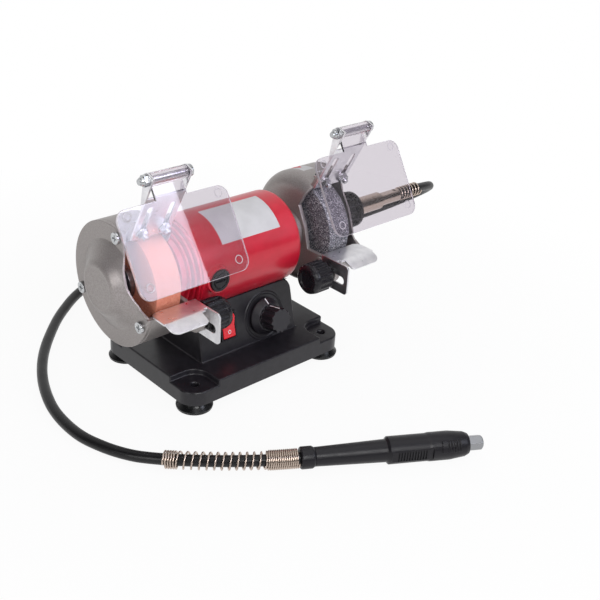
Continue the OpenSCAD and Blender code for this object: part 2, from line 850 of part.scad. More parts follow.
module guard() {
  rim = guard_out - cover_t;
  difference() {
    union() {
      difference() {
        on_spindle(guard_in) intersection() {
          rotate_extrude($fn = 96) difference() {
            guard_half(0);
            guard_half(guard_wall);
          }
          cylinder(h = cup_len, r = 2 * guard_r);
        }
        side_extrude(guard_in - over, rim + over) opening_profile();
      }
      // Inclined flange that carries the shield's bracket
      flange_frame(0) translate([guard_in + guard_edge_r / 2, 0, -flange_low])
        cube([rim - guard_in - guard_edge_r / 2, flange_t, flange_low + flange_high]);
      // Bosses for the cover screws and the lug of the tool rest
      intersection() {
        translate([rim - screw_boss_len, 0, 0]) cover_screw_places()
          cylinder(h = screw_boss_len, r = screw_boss_r);
        spindle_cylinder(0, rim, guard_r);
      }
      difference() {
        side_extrude(guard_in, guard_in + lug_t) {
          translate([stud_y, -stud_drop]) circle(lug_r);
          polygon([[stud_y, -stud_drop - lug_r], lug_root_low, lug_root_high, [stud_y, -stud_drop + lug_r]]);
        }
        side_extrude(guard_in - over, rim) translate([-2 * guard_r, -opening_drop])
          square([2 * guard_r, guard_r]);
      }
    }
    spindle_cylinder(0, guard_in + 2 * guard_wall, spindle_hole_r);
    bracket_screw_places() cylinder(h = 4 * flange_t, d = screw_d + 2 * seat, center = true);
    translate([rim - screw_boss_len + over, 0, 0]) cover_screw_places()
      cylinder(h = cup_len, d = screw_d + 2 * seat);
    translate([0, stud_y, stud_z]) rotate([0, 90, 0]) cylinder(h = rim, d = stud_d + 2 * run_clear);
  }
}

module left_guard() color("#8f8b88") left_side() guard();

module right_guard() color("#8f8b88") guard();

// Height of a cover's bulge at a radius
function bulge(r) =
  let (u = min(max((bulge_r - r) / (bulge_r - boss_r), 0), 1)) bulge_h * u * u * (3 - 2 * u);

function bulge_edge() = [
  for (i = [0 : bulge_steps]) let (r = bulge_r + (boss_r - bulge_r) * i / bulge_steps) [r, bulge(r)]
];

module cover(bore) {
  edge = bulge_edge();
  rise = [for (p = edge) [p.x, p.y + cover_t]];
  inside = [for (i = [0 : bulge_steps]) [edge[bulge_steps - i].x - 0.6, edge[bulge_steps - i].y]];
  difference() {
    on_spindle(guard_out - cover_t) rotate_extrude($fn = 96)
      polygon(concat([[guard_r, 0], [guard_r, cover_t]], rise, [[0, bulge_h + cover_t], [0, bulge_h]], inside));
    side_extrude(guard_out - 2 * cover_t, boss_out + over) cover_opening_profile();
    cover_screw_places() cylinder(h = 2 * guard_out, d = screw_d + 2 * seat);
    if (bore > 0) spindle_cylinder(0, 2 * guard_out, bore);
  }
}

module left_cover() color("#979390") left_side() cover(0);

module right_cover() color("#979390") cover(spigot_r + seat);

module cover_screw() {
  head_r = screw_d * 1.05;
  translate([0, 0, guard_out - cover_t - screw_boss_len + 2 * over])
    cylinder(h = cover_t + screw_boss_len - 2 * over, d = screw_d);
  difference() {
    translate([0, 0, guard_out]) cylinder(h = head_h, r = head_r);
    for (turn = [0, 90]) rotate(turn) translate([-0.6 * head_r, -cross_w / 2, guard_out + head_h / 2])
      cube([1.2 * head_r, cross_w, head_h]);
  }
}

module cover_screws() color("#6f7072") {
  cover_screw_places() cover_screw();
  left_side() cover_screw_places() cover_screw();
}

// Shields

module bracket_slot(s) {
  slot_w = screw_d + 0.5;
  translate([s * bracket_screw_gap / 2, 0]) {
    circle(d = slot_w);
    translate([-slot_w / 2, 0]) square([slot_w, slot_len]);
    translate([0, slot_len]) circle(d = slot_w);
  }
}

module ear_profile() {
  front = -bracket_t - slide_clear;
  polygon([
    [front, ear_low], [-slide_clear, ear_low], [hinge_back + 0.6 * ear_r, hinge_up - 0.8 * ear_r],
    [hinge_back, hinge_up], [hinge_back, hinge_up + ear_r], [front, hinge_up + ear_rise]
  ]);
  translate([hinge_back, hinge_up]) circle(ear_r);
}

module bracket() {
  flange_frame() difference() {
    union() {
      translate([0, -slide_clear, 0]) rotate([90, 0, 0]) linear_extrude(bracket_t) difference() {
        translate([-bracket_w / 2, -bracket_foot]) square([bracket_w, plate_up + bracket_foot]);
        for (s = [-1, 1]) bracket_slot(s);
      }
      for (s = [-1, 1]) translate([s * (bracket_w - bracket_t) / 2 - bracket_t / 2, 0, 0])
        rotate([90, 0, 90]) linear_extrude(bracket_t) ear_profile();
    }
    translate([-bracket_w, hinge_back, hinge_up]) rotate([0, 90, 0])
      cylinder(h = 2 * bracket_w, d = pivot_d + 2 * seat);
  }
}

module left_bracket() color("#c9ccd0") left_side() bracket();

module right_bracket() color("#c9ccd0") bracket();

// Screw from behind, with a washer, a nut and the thread's end in front of the bracket
module bracket_screw() {
  front = -bracket_t - 2 * slide_clear - washer_t;
  translate([0, 0, front]) cylinder(h = washer_t, r = washer_r);
  translate([0, 0, front - small_nut_h]) hex_prism(small_nut_af, small_nut_h);
  translate([0, 0, front - small_nut_h - thread_out])
    cylinder(h = flange_t - front + small_nut_h + thread_out, d = screw_d);
  translate([0, 0, flange_t]) cylinder(h = pivot_head_h, r = pivot_head_r);
}

module bracket_screws() color("#b4b7bb") {
  bracket_screw_places() bracket_screw();
  left_side() bracket_screw_places() bracket_screw();
}

// Hinge pin with its head on the right and a lock nut on the left
module pivot(x) {
  reach = bracket_w / 2;
  flange_frame(x) translate([0, hinge_back, hinge_up]) rotate([0, 90, 0]) {
    nut_end = reach + small_nut_h + lock_h;
    translate([0, 0, -nut_end - pin_out]) cylinder(h = nut_end + reach + pin_out, d = pivot_d);
    translate([0, 0, reach]) cylinder(h = pivot_head_h, r = pivot_head_r);
    translate([0, 0, -reach - small_nut_h]) hex_prism(small_nut_af, small_nut_h);
    translate([0, 0, -nut_end]) cylinder(h = lock_h, r1 = lock_end_r, r2 = lock_r);
  }
}

module left_pivot() color("#a9acb0") pivot(-shield_x);

module right_pivot() color("#a9acb0") pivot(shield_x);

module shield() {
  hang = neck_len + shield_len;
  flange_frame() translate([0, hinge_back, hinge_up]) rotate([-shield_lean - flange_lean, 0, 0]) difference() {
    union() {
      translate([-hinge_len / 2, 0, 0]) rotate([0, 90, 0]) cylinder(h = hinge_len, d = hinge_d);
      translate([0, hinge_d / 2, 0]) rotate([90, 0, 0]) linear_extrude(shield_t) {
        translate([0, -neck_len - shield_len / 2]) rounded_rect([shield_w, shield_len], shield_corner_r);
        translate([-neck_w / 2, -neck_len - 1]) square([neck_w, neck_len + 1]);
      }
    }
    translate([-bracket_w, 0, 0]) rotate([0, 90, 0]) cylinder(h = 2 * bracket_w, d = pivot_d + 2 * run_clear);
  }
}

module left_shield() color("#d9d3e6", 0.5) left_side() shield();

module right_shield() color("#d9d3e6", 0.5) shield();

// Tool rests

module rest() {
  far = guard_in + rest_w;
  flap_near = guard_in + flap_inset;
  flap_w = far - flap_far_inset - flap_near;
  side_low = -rest_drop - side_h;
  difference() {
    union() {
      translate([0, 0, rest_top - rest_t]) linear_extrude(rest_t) difference() {
        translate([side_face, rest_bend]) square([far - side_face, rest_dep]);
        translate([far - rest_corner_r, rest_back - rest_corner_r]) corner_cut(rest_corner_r);
        translate([side_face + rest_t, rest_bend - over]) square([relief_w, relief_w + over]);
      }
      translate([flap_near, rest_bend, rest_top]) rotate([flap_slope, 0, 0]) translate([0, 0, -rest_t])
        linear_extrude(rest_t) difference() {
          translate([0, -flap_dep]) square([flap_w, flap_dep]);
          translate([flap_w - rest_corner_r, rest_corner_r - flap_dep]) rotate(-90) corner_cut(rest_corner_r);
          translate([flap_corner_r, flap_corner_r - flap_dep]) rotate(180) corner_cut(flap_corner_r);
        }
      side_extrude(side_face, side_face + rest_t) difference() {
        translate([side_front, side_low]) square([rest_back - side_front, side_h]);
        translate([side_front + flap_corner_r, -rest_drop - flap_corner_r]) rotate(90) corner_cut(flap_corner_r);
        translate([side_front + flap_corner_r, side_low + flap_corner_r]) rotate(180) corner_cut(flap_corner_r);
      }
    }
    translate([side_face - over, 0, 0]) side_slot(rest_t + 2 * over);
  }
}

module side_slot(h) {
  slot_d = stud_d + 0.4;
  slot_front = rest_slot_front + stud_d / 2;
  for (y = [rest_slot_back, slot_front]) translate([0, y, stud_z]) rotate([0, 90, 0])
    cylinder(h = h, d = slot_d);
  translate([0, slot_front, stud_z - slot_d / 2]) cube([h, rest_slot_back - slot_front, slot_d]);
}

module left_rest() color("#cfd2d6") left_side() rest();

module right_rest() color("#cfd2d6") rest();

// Lobed knob with a smooth domed end
module knob() {
  r = knob_d / 2;
  lobes = knob_len - knob_hub;
  translate([knob_face - knob_len, stud_y, stud_z]) rotate([0, 90, 0]) difference() {
    union() {
      rotate_extrude() polygon([
        [0, 0], [0.78 * r, 0], [0.93 * r, 0.3 * knob_dome], [r, knob_dome], [r, lobes], [0, lobes]
      ]);
      cylinder(h = knob_len, r = r - knob_hub);
    }
    translate([0, 0, knob_dome]) flutes(r, knob_len, knob_flutes, knob_flute_r);
    translate([0, 0, -over]) cylinder(h = over + knob_recess, r = r - knob_bore_end);
    translate([0, 0, knob_bore_end]) cylinder(h = knob_len, d = stud_d);
  }
}

module left_knob() color("#19191b") left_side() knob();

module right_knob() color("#19191b") knob();

module stud() {
  start = knob_face - knob_len + knob_bore_end;
  translate([start, stud_y, stud_z]) rotate([0, 90, 0]) cylinder(h = guard_in + lug_t - start, d = stud_d);
}

module left_stud() color("#b4b7bb") left_side() stud();

module right_stud() color("#b4b7bb") stud();

// Controls

module switch_frame() color("#19191b") {
  body = [switch_w - frame_t - 2 * seat, switch_h - frame_t - 2 * seat];
  panel_frame(-switch_x, switch_up) difference() {
    union() {
      front_extrude(-frame_t, 0) square([switch_w, switch_h], center = true);
      front_extrude(0, switch_dep) square(body, center = true);
    }
    front_extrude(-frame_t - over, switch_dep - frame_t)
      square([rocker_w + 2 * rocker_clear, 2 * (rocker_r + rocker_clear)], center = true);
  }
}

module rocker() color("#d9182b") {
  panel_frame(-switch_x, switch_up) translate([-rocker_w / 2, -rocker_lift, 0]) rotate([rocker_tilt, 0, 0])
    rotate([90, 0, 90]) linear_extrude(rocker_w) intersection() {
      circle(rocker_r);
      polygon([
        [rocker_in, -rocker_r], [rocker_in, rocker_r], [-rocker_out - rocker_dish, rocker_r], [-rocker_out, 0],
        [-rocker_out - rocker_dish, -rocker_r]
      ]);
    }
}

module speed_control() color("#3c5a3c") {
  panel_frame(dial_x, dial_up) difference() {
    union() {
      front_extrude(base_wall, base_wall + control_dep) circle(control_r);
      front_extrude(-bush_out, base_wall + over) circle(d = bush_d - 2 * seat);
    }
    front_extrude(-bush_out - over, base_wall + control_dep + over) circle(d = dial_shaft_d + 2 * run_clear);
  }
}

module speed_shaft() color("#b4b7bb") {
  panel_frame(dial_x, dial_up) front_extrude(dial_cap - dial_h - bush_out, base_wall + control_dep)
    circle(d = dial_shaft_d);
}

module speed_knob() color("#1b1b1d") {
  panel_frame(dial_x, dial_up) translate([0, -bush_out - dial_gap, 0]) rotate([90, 0, 0]) difference() {
    union() {
      rotate_extrude() polygon([
        [0, 0], [dial_r, 0], [dial_r, 0.2 * skirt_h], [grip_r + 1, skirt_h], [0, skirt_h]
      ]);
      cylinder(h = dial_h, r = grip_r);
    }
    translate([0, 0, skirt_h]) rotate(180 / dial_flutes) flutes(grip_r, dial_h, dial_flutes, dial_flute_r);
    translate([0, 0, -over]) cylinder(h = dial_h - dial_cap - dial_gap + over, d = dial_shaft_d);
  }
}

module cord_gland() color("#1b1b1d") {
  gland_frame() difference() {
    union() {
      front_extrude(0, base_wall) circle(d = gland_d - 2 * seat);
      front_extrude(-gland_out, 0) circle(d = gland_d + 2 * gland_lip);
    }
    front_extrude(-gland_out - over, base_wall + over) circle(d = gland_d - 2 * gland_wall);
  }
}

// Coupling of the flexible shaft

module coupling_spigot() color("#9b9ea2") {
  spindle_ring(boss_out - 2, union_out - union_wall, spigot_r, spigot_bore_r);
  spindle_ring(boss_out, boss_out + 2.5, spigot_r + 3, spigot_r - 1);
}

// Flared nut with a rim and fins
module union_nut() color("#1a1a1c") {
  flare = union_len - union_rim;
  difference() {
    on_spindle(union_in) {
      cylinder(h = flare + seat, r1 = union_hub_r, r2 = union_hub_r + union_rise);
      translate([0, 0, flare]) cylinder(h = union_rim, d = union_d);
      intersection() {
        cylinder(h = flare + seat, r1 = union_hub_r + union_rise / 2, r2 = union_d / 2);
        for (i = [0 : union_fins - 1]) rotate(i * 360 / union_fins) translate([0, -union_fin_t / 2, 0])
          cube([union_d, union_fin_t, union_len]);
      }
    }
    spindle_cylinder(union_in - over, union_out - union_wall, spigot_r + seat);
    spindle_cylinder(union_in, union_out + over, spigot_bore_r);
  }
}

module coupling_sleeve() color("#b8a89c") spindle_cylinder(union_out, sleeve_out, sleeve_d / 2);

module coupling_ferrule() color("#b8a89c") {
  difference() {
    spindle_cylinder(sleeve_out, ferrule_out, ferrule_d / 2);
    for (s = [-1, 1]) translate([sleeve_out + 4, -ferrule_d, shaft_h + s * (ferrule_d - 0.8) - ferrule_d / 2])
      cube([ferrule_len - 8, 2 * ferrule_d, ferrule_d]);
  }
}

module coupling_spring() color("#b8a89c") {
  start = [ferrule_out + wire_d, 0, shaft_h];
  end = start + [coupling_spring_len, 0, 0];
  widths = [[0, coupling_spring_d], [coupling_curls, coupling_spring_d]];
  spring("coupling_spring", start, (start + end) / 2, end, [[coupling_curls, 1]], widths);
}

function on_bench(p) = [p.x, p.y, max(p.z, flex_d / 2)];

module flex_shaft() color("#19191b") {
  tail = [for (u = [0 : 0.2 : 1]) bend_point(spring_tail, spring_bend, hand_pos, u)];
  line = [for (p = concat(spline(concat(route, [spring_tail]), 2), [for (i = [1 : 5]) tail[i]])) on_bench(p)];
  tube(line, [for (p = line) [0, 0, 1]], flex_d / 2, 10);
}

// Handpiece

module on_handpiece(s) { translate(hand_pos) rotate([0, 90, hand_turn]) translate([0, 0, s]) children(); }

module hand_spring() color("#b8a89c") {
  open = hand_stretches[0][0] + hand_stretches[1][0];
  widths = [[0, hand_spring_d], [open, hand_spring_d], [open + 1, hand_close_d]];
  spring("hand_spring", spring_tail, spring_bend, hand_pos - wire_d * hand_dir, hand_stretches, widths);
}

module hand_collar() color("#19191b") {
  r = collar_d / 2;
  on_handpiece(0) rotate_extrude() polygon([
    [0, 0], [r - 0.8, 0], [r, 0.8], [r, collar_len - 2], [r - 1.2, collar_len], [0, collar_len]
  ]);
}

module hand_body() color("#19191b") {
  r = hand_d / 2;
  nose_r = r + nose_rise;
  nose = hand_taper_len + nose_at;
  end = hand_taper_len + hand_grip_len;
  difference() {
    union() {
      on_handpiece(hand_body_at) rotate_extrude() polygon([
        [0, 0], [r - 3, 0], [r - 1.7, hand_taper_len], [r - 1.7, hand_taper_len + 1], [r, hand_taper_len + 2.5],
        [r, nose], [nose_r, nose + 2], [nose_r, end - nose_taper], [r - 0.9, end - 3], [r - 2.2, end], [0, end]
      ]);
      on_handpiece(grip_at + pad_at) rotate(pad_turn) intersection() {
        cylinder(h = pad_len, r = nose_r + pad_rise);
        translate([-pad_w / 2, 0, 0]) cube([pad_w, hand_d, pad_len]);
      }
    }
    on_handpiece(grip_at + collet_in) cylinder(h = hand_grip_len, d = hand_bore_d + 2 * run_clear);
    // Flat, grooved grip panels on both sides, and the grooves of the pad
    for (turn = [0, 180]) {
      on_handpiece(grip_at + panel_at) rotate(turn) translate([-hand_d, r - panel_dep, 0])
        cube([2 * hand_d, hand_d, panel_len]);
      for (i = [0 : panel_grooves - 1]) on_handpiece(grip_at + groove_at + groove_pitch * i) rotate(turn)
        translate([-groove_len / 2, r - 2 * panel_dep, 0]) cube([groove_len, hand_d, groove_pitch / 2]);
    }
    for (i = [1 : pad_grooves]) on_handpiece(grip_at + pad_at + pad_len - groove_pitch * i) rotate(pad_turn)
      translate([-hand_d, nose_r, 0]) cube([2 * hand_d, hand_d, groove_pitch / 2]);
  }
}

module collet() color("#8f9296") {
  corner_r = collet_af / 2 / cos(30);
  difference() {
    union() {
      on_handpiece(grip_at + collet_in + collet_gap) cylinder(h = hand_grip_len - collet_in, d = hand_bore_d);
      on_handpiece(hand_end + collet_gap - seat) intersection() {
        hex_prism(collet_af, collet_len);
        rotate_extrude() polygon([
          [0, 0], [corner_r, 0], [corner_r, collet_len - collet_edge], [corner_r - collet_edge, collet_len],
          [0, collet_len]
        ]);
      }
    }
    on_handpiece(hand_end - shank_dep) cylinder(h = shank_dep + 2 * collet_len, d = shank_d);
  }
}

base_casting();
bottom_cover();
rubber_feet();
motor_housing();
left_end_bell();
right_end_bell();
left_bearing();
right_bearing();
stator_core();
brush_caps();
carbon_brushes();
spindle();
armature();
commutator();
left_guard();
right_guard();
left_cover();
right_cover();
cover_screws();
left_wheel();
right_wheel();
wheel_clamps();
spacer_sleeves();
left_nut();
drive_nut();
left_bracket();
right_bracket();
bracket_screws();
left_pivot();
right_pivot();
left_shield();
right_shield();
left_rest();
right_rest();
left_knob();
right_knob();
left_stud();
right_stud();
switch_frame();
rocker();
speed_control();
speed_shaft();
speed_knob();
cord_gland();
coupling_spigot();
union_nut();
coupling_sleeve();
coupling_ferrule();
coupling_spring();
flex_shaft();
hand_spring();
hand_collar();
hand_body();
collet();
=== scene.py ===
"""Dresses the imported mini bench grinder: finishes, soft edges, the flexible shaft, marks and a studio."""

import json
import math

import bmesh
import bpy
from mathutils import Matrix, Vector
from mathutils.bvhtree import BVHTree


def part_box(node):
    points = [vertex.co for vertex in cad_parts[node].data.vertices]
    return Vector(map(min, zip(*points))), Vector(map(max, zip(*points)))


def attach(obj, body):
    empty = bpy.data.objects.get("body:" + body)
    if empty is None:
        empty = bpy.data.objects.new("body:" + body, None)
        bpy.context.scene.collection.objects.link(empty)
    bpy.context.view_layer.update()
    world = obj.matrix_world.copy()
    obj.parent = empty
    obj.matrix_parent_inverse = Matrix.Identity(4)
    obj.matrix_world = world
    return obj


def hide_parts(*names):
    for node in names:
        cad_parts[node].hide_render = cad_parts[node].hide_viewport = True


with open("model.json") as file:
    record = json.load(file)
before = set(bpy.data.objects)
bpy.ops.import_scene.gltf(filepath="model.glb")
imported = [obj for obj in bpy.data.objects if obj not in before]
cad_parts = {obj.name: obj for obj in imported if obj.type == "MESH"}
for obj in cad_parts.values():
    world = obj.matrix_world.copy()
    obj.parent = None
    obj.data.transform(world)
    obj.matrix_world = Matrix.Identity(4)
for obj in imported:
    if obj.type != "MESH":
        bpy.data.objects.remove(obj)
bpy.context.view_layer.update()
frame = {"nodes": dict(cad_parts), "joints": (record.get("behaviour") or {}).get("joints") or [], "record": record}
nodes = frame["nodes"]
MM = 0.001
bodies = frame["record"]["behaviour"]["bodies"]
home = {node: body for body, members in bodies.items() for node in members}
joints = {joint["name"]: joint for joint in frame["joints"]}
shaft_h = joints["spindle_spin"]["pos_m"][2]

# Camera, as the photograph was taken: place in metres, angles in degrees, lens and sensor in millimetres,
# and the nearest that it sees in metres
CAMERA_PLACE = (-0.4239, -0.5127, 0.4041)
CAMERA_HEADING = -44.49
CAMERA_DIP = 27.9
CAMERA_ROLL = 3.91
CAMERA_LENS = 58.77
SENSOR_WIDTH = 36
NEAREST_SEEN = 0.01

# Sizes from here to the floor are in millimetres and degrees

# Route of the flexible shaft, from the ferrule to the tail of the handpiece's spring
FERRULE_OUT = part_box("coupling_ferrule")[1].x / MM
AXIS_H = shaft_h / MM
ROUTE = [
    (FERRULE_OUT, 0, AXIS_H), (200, 0, AXIS_H), (215, 0, AXIS_H), (243, 9, 86), (255, 32, 69), (243, 55, 52),
    (215, 64, 45), (190, 76, 36), (170, 92, 24), (145, 120, 8), (110, 145, 4), (60, 163, 4), (10, 166, 4),
    (-35, 152, 4), (-69, 128, 4), (-95, 102, 4), (-116, 76, 4), (-132, 49, 4), (-143, 21, 4), (-148, -3, 4),
    (-148, -29, 4), (-142, -51, 4), (-133, -71, 5),
]
FLEX_D = 8.0
# Steps between two points of the route, steps along its last bend, and roundness of the sheath's section
ROUTE_STEPS = 8
TAIL_STEPS = 12
SHEATH_ROUNDNESS = 5
# The handpiece's spring starts at its tail, bends and ends at the handpiece, which lies turned on the bench
SPRING_TAIL = Vector((-121, -88, 6.7))
HAND_TURN = math.radians(-30)
HAND_DIR = Vector((math.cos(HAND_TURN), math.sin(HAND_TURN), 0))
HAND_PLACE = Vector((-53, -145, 9.9))
SPRING_LEAD = 42
SPRING_BEND = HAND_PLACE - SPRING_LEAD * HAND_DIR
# Curls of each stretch of a spring, and the stretch's share of the spring's length
HAND_STRETCHES = [(5, 0.09), (12, 0.655), (15, 0.255)]
COUPLING_STRETCHES = [(7, 1.0)]
COUPLING_SPRING_LEN = 26
COUPLING_SPRING_D = 12.0
COUPLING_WIRE_D = 1.5
# The handpiece's spring widens over one curl where its close curls start
HAND_SPRING_D = 12.5
HAND_CLOSE_D = 13.7
HAND_OPEN_CURLS = 17
HAND_WIRE_D = 1.4
# A wire stays this far from the end that it leans on, and is drawn with these steps and sides
WIRE_CLEAR = 1.2
STEPS_PER_CURL = 24
WIRE_SIDES = 10

# The shields' lean from upright and thickness, the hinge, and their mould rings across and up from it
SHIELD_LEAN = 31.0
SHIELD_T = 2.0
HINGE_D = 8.5
RING_ACROSS = (-35.0, 35.0)
RING_UP = (-64.0, -18.5)
RING_R = 2.7
RING_STEPS = 32
BEAD_R = 0.3
BEAD_STEPS = 8
# A face of a shield is a cut edge if its normal has less than this share along the thickness
FROST_FACING = 0.97

# The speed knob's skirt and grip, and its pointer line with its gaps on the skirt and on the grip
DIAL_R = 14.4
GRIP_R = 9.5
POINTER_W = 0.9
SKIRT_LINE_SHIFT = 0.4
SKIRT_LINE_SHORTER = 1.4
GRIP_LINE_START = 0.5
GRIP_LINE_END = 0.9
# Share of the rocker's rise from its pivot that is kept, and its marks: the circle's place and radii, and the
# bar's place, width and height
ROCKER_KEPT = 0.45
CIRCLE_UP = -4.4
CIRCLE_RADII = (1.0, 1.5)
BAR_UP = 4.4
BAR_SIZE = (0.45, 2.6)

# Guards and covers as in the part's source, and how much thinner a cover's wall is inside its rim
GUARD_R = 45.0
BULGE_R = 32.5
BOSS_R = 14.0
BULGE_H = 10.2
GUARD_OUT = 101.8
COVER_T = 3.0
COVER_RIM_IN = 43.0
COVER_THINNED = 1.7

# Edges: gap within which corners merge, angle up to which faces are one, angle from which edges are rounded,
# strips in a rounded edge, and angle from which shading breaks
MERGE_GAP = 0.004
FLAT_ANGLE = 1
EDGE_ANGLE = 40
EDGE_STRIPS = 2
SHADE_BREAK = 35
COVER_SHADE_BREAK = 12
# The base's rounded edges end this far above its open underside
BASE_OPEN_H = 6
# Parts of a noise's range over which a tone and a roughness wander
TONE_RANGE = (0.35, 0.65)
ROUGHNESS_RANGE = (0.3, 0.7)

# Films: thickness and gap, first angle from +Y over the top, sweep, steps and two places along X
FILM_T = 0.1
FILM_GAP = 0.02
ARROW_GAP = 0.14
LABEL = (90, 54, 40, -28.8, 25.8)
SIGN = (66, 23, 20, 75.0, 86.0)
# The arrow's outline, by rows of an angle and two places along X
ARROW_ROWS = [
    (66.8, 78.9, 81.7), (68.2, 78.9, 81.7), (69.4, 78.9, 81.7), (69.5, 75.8, 84.8), (71.7, 77.0, 83.6),
    (74, 78.1, 82.5), (76.3, 79.3, 81.3), (78.4, 80.25, 80.35),
]
# A mark is laid from this far in front of what carries it
MARK_START = 30

# The floor: half its width in metres, and its distance in metres and whiteness close to the object and
# away from it
FLOOR_HALF = 4.0
FLOOR_NEAR = (0.15, 0.93)
FLOOR_AWAY = (0.45, 1.0)
# The room: direction of its back wall, and how far towards it and how bright where it is dim and where it
# is bright
ROOM_BACK = (0.5, 0.8, 0.2)
ROOM_DIM = (0.1, 0.07)
ROOM_BRIGHT = (0.8, 0.9)
# Lamps: name, place and size in metres, power in watts, colour, and turn about the beam in degrees
LAMP_AIM = Vector((0, -0.02, 0.09))
LAMPS = [
    ("top_softbox", (0.05, -0.3, 1.4), (1.3, 1.1), 5.5, "#ffffff", 0),
    ("front_softbox", (-0.45, -1.2, 0.9), (0.6, 0.6), 10.0, "#ffffff", 0),
    ("left_card", (-1.25, -0.32, 0.48), (0.4, 0.5), 3.4, "#ffffff", 0),
    ("front_card", (0.38, -0.89, 0.6), (0.3, 0.5), 2.8, "#e9eeff", -9),
]


def add(tree, kind, inputs=None, **settings):
    """Adds a node with its settings, and sets or links its inputs."""
    node = tree.nodes.new(kind)
    for key, value in settings.items():
        setattr(node, key, value)
    for key, value in (inputs or {}).items():
        socket = node.inputs[key]
        if isinstance(value, bpy.types.NodeSocket):
            tree.links.new(value, socket)
        else:
            socket.default_value = value
    return node


def linear(code):
    """An sRGB hex colour as linear red, green, blue and full alpha."""
    parts = [int(code[i:i + 2], 16) / 255 for i in (1, 3, 5)]
    return [p / 12.92 if p <= 0.04045 else ((p + 0.055) / 1.055) ** 2.4 for p in parts] + [1.0]


def per_mm(size):
    """Texture scale at which one cell of a pattern is about size millimetres."""
    return 1000.0 / size


def link(obj):
    bpy.context.scene.collection.objects.link(obj)
    return obj


def make_camera():
    data = bpy.data.cameras.new("camera")
    data.lens = CAMERA_LENS
    data.sensor_width = SENSOR_WIDTH
    data.clip_start = NEAREST_SEEN
    camera = link(bpy.data.objects.new("camera", data))
    turn = Matrix.Rotation(math.radians(CAMERA_HEADING), 4, "Z")
    tip = Matrix.Rotation(math.radians(90 - CAMERA_DIP), 4, "X")
    roll = Matrix.Rotation(math.radians(CAMERA_ROLL), 4, "Z")
    camera.matrix_world = Matrix.Translation(CAMERA_PLACE) @ turn @ tip @ roll
    bpy.context.scene.camera = camera


# Finishes

def finish(name, colour, roughness, metallic=0.0, ior=1.5, coat=0.0, level=0.5):
    """A new material with one shader, and the tree to add its patterns to."""
    made = bpy.data.materials.new(name)
    made.use_nodes = True
    tree = made.node_tree
    tree.nodes.clear()
    values = {"Base Color": linear(colour), "Roughness": roughness, "Metallic": metallic, "Coat Weight": coat,
              "Specular IOR Level": level}
    if metallic < 0.5:
        values["IOR"] = ior
    shader = add(tree, "ShaderNodeBsdfPrincipled", values)
    add(tree, "ShaderNodeOutputMaterial", {"Surface": shader.outputs[0]})
    return made, tree, shader


def mottle(tree, shader, low, high, size, detail=3.0):
    """Lets the colour wander between two tones in patches of about size millimetres."""
    where = add(tree, "ShaderNodeTexCoord").outputs["Object"]
    noise = add(tree, "ShaderNodeTexNoise", {"Vector": where, "Scale": per_mm(size), "Detail": detail})
    ramp = add(tree, "ShaderNodeValToRGB", {"Fac": noise.outputs["Fac"]})
    ramp.color_ramp.elements[0].position = TONE_RANGE[0]
    ramp.color_ramp.elements[0].color = linear(low)
    ramp.color_ramp.elements[1].position = TONE_RANGE[1]
    ramp.color_ramp.elements[1].color = linear(high)
    tree.links.new(ramp.outputs["Color"], shader.inputs["Base Color"])


def uneven(tree, shader, low, high, size):
    """Lets the roughness wander between two values in patches of about size millimetres."""
    where = add(tree, "ShaderNodeTexCoord").outputs["Object"]
    noise = add(tree, "ShaderNodeTexNoise", {"Vector": where, "Scale": per_mm(size), "Detail": 4.0})
    values = {"Value": noise.outputs["Fac"], "From Min": ROUGHNESS_RANGE[0], "From Max": ROUGHNESS_RANGE[1],
              "To Min": low, "To Max": high}
    spread = add(tree, "ShaderNodeMapRange", values)
    tree.links.new(spread.outputs["Result"], shader.inputs["Roughness"])


def relief(tree, shader, size, height, strength, stretch=(1, 1, 1)):
    """Raises a grain of about size millimetres by height millimetres."""
    where = add(tree, "ShaderNodeTexCoord").outputs["Object"]
    mapped = add(tree, "ShaderNodeMapping", {"Vector": where, "Scale": stretch})
    values = {"Vector": mapped.outputs["Vector"], "Scale": per_mm(size), "Detail": 2.0}
    noise = add(tree, "ShaderNodeTexNoise", values)
    values = {"Height": noise.outputs["Fac"], "Strength": strength, "Distance": height * MM}
    bump = add(tree, "ShaderNodeBump", values)
    tree.links.new(bump.outputs["Normal"], shader.inputs["Normal"])


def hammered_enamel():
    # Grey hammer-finish enamel on die-cast aluminium: fine soft dimples in a half-gloss film with a glint
    made, tree, shader = finish("hammered_grey_enamel", "#9a9492", roughness=0.4, metallic=0.6)
    mottle(tree, shader, low="#928c8a", high="#a39d9b", size=0.9)
    relief(tree, shader, size=0.9, height=0.12, strength=0.4)
    return made


def red_enamel():
    # Stoved red enamel on turned aluminium: gloss with a faint orange peel
    made, tree, shader = finish("gloss_red_enamel", "#bf1b30", roughness=0.3, coat=0.15)
    mottle(tree, shader, low="#b9192d", high="#c51d33", size=14)
    relief(tree, shader, size=2.2, height=0.05, strength=0.2)
    return made


def black_enamel():
    # Satin black powder coat on cast aluminium: a fine even grain that spreads the highlights
    made, tree, shader = finish("satin_black_powder_coat", "#1f1d22", roughness=0.34, level=0.4)
    mottle(tree, shader, low="#1b191e", high="#232126", size=5)
    relief(tree, shader, size=0.8, height=0.08, strength=0.3)
    return made


def black_moulding(name="moulded_black_abs", colour="#18161b", roughness=0.28, level=0.32):
    # Moulded black plastic, ABS or nylon: half-gloss with a faint spark-eroded skin
    made, tree, shader = finish(name, colour, roughness, level=level)
    uneven(tree, shader, low=roughness - 0.04, high=roughness + 0.06, size=3)
    relief(tree, shader, size=0.7, height=0.02, strength=0.06)
    return made


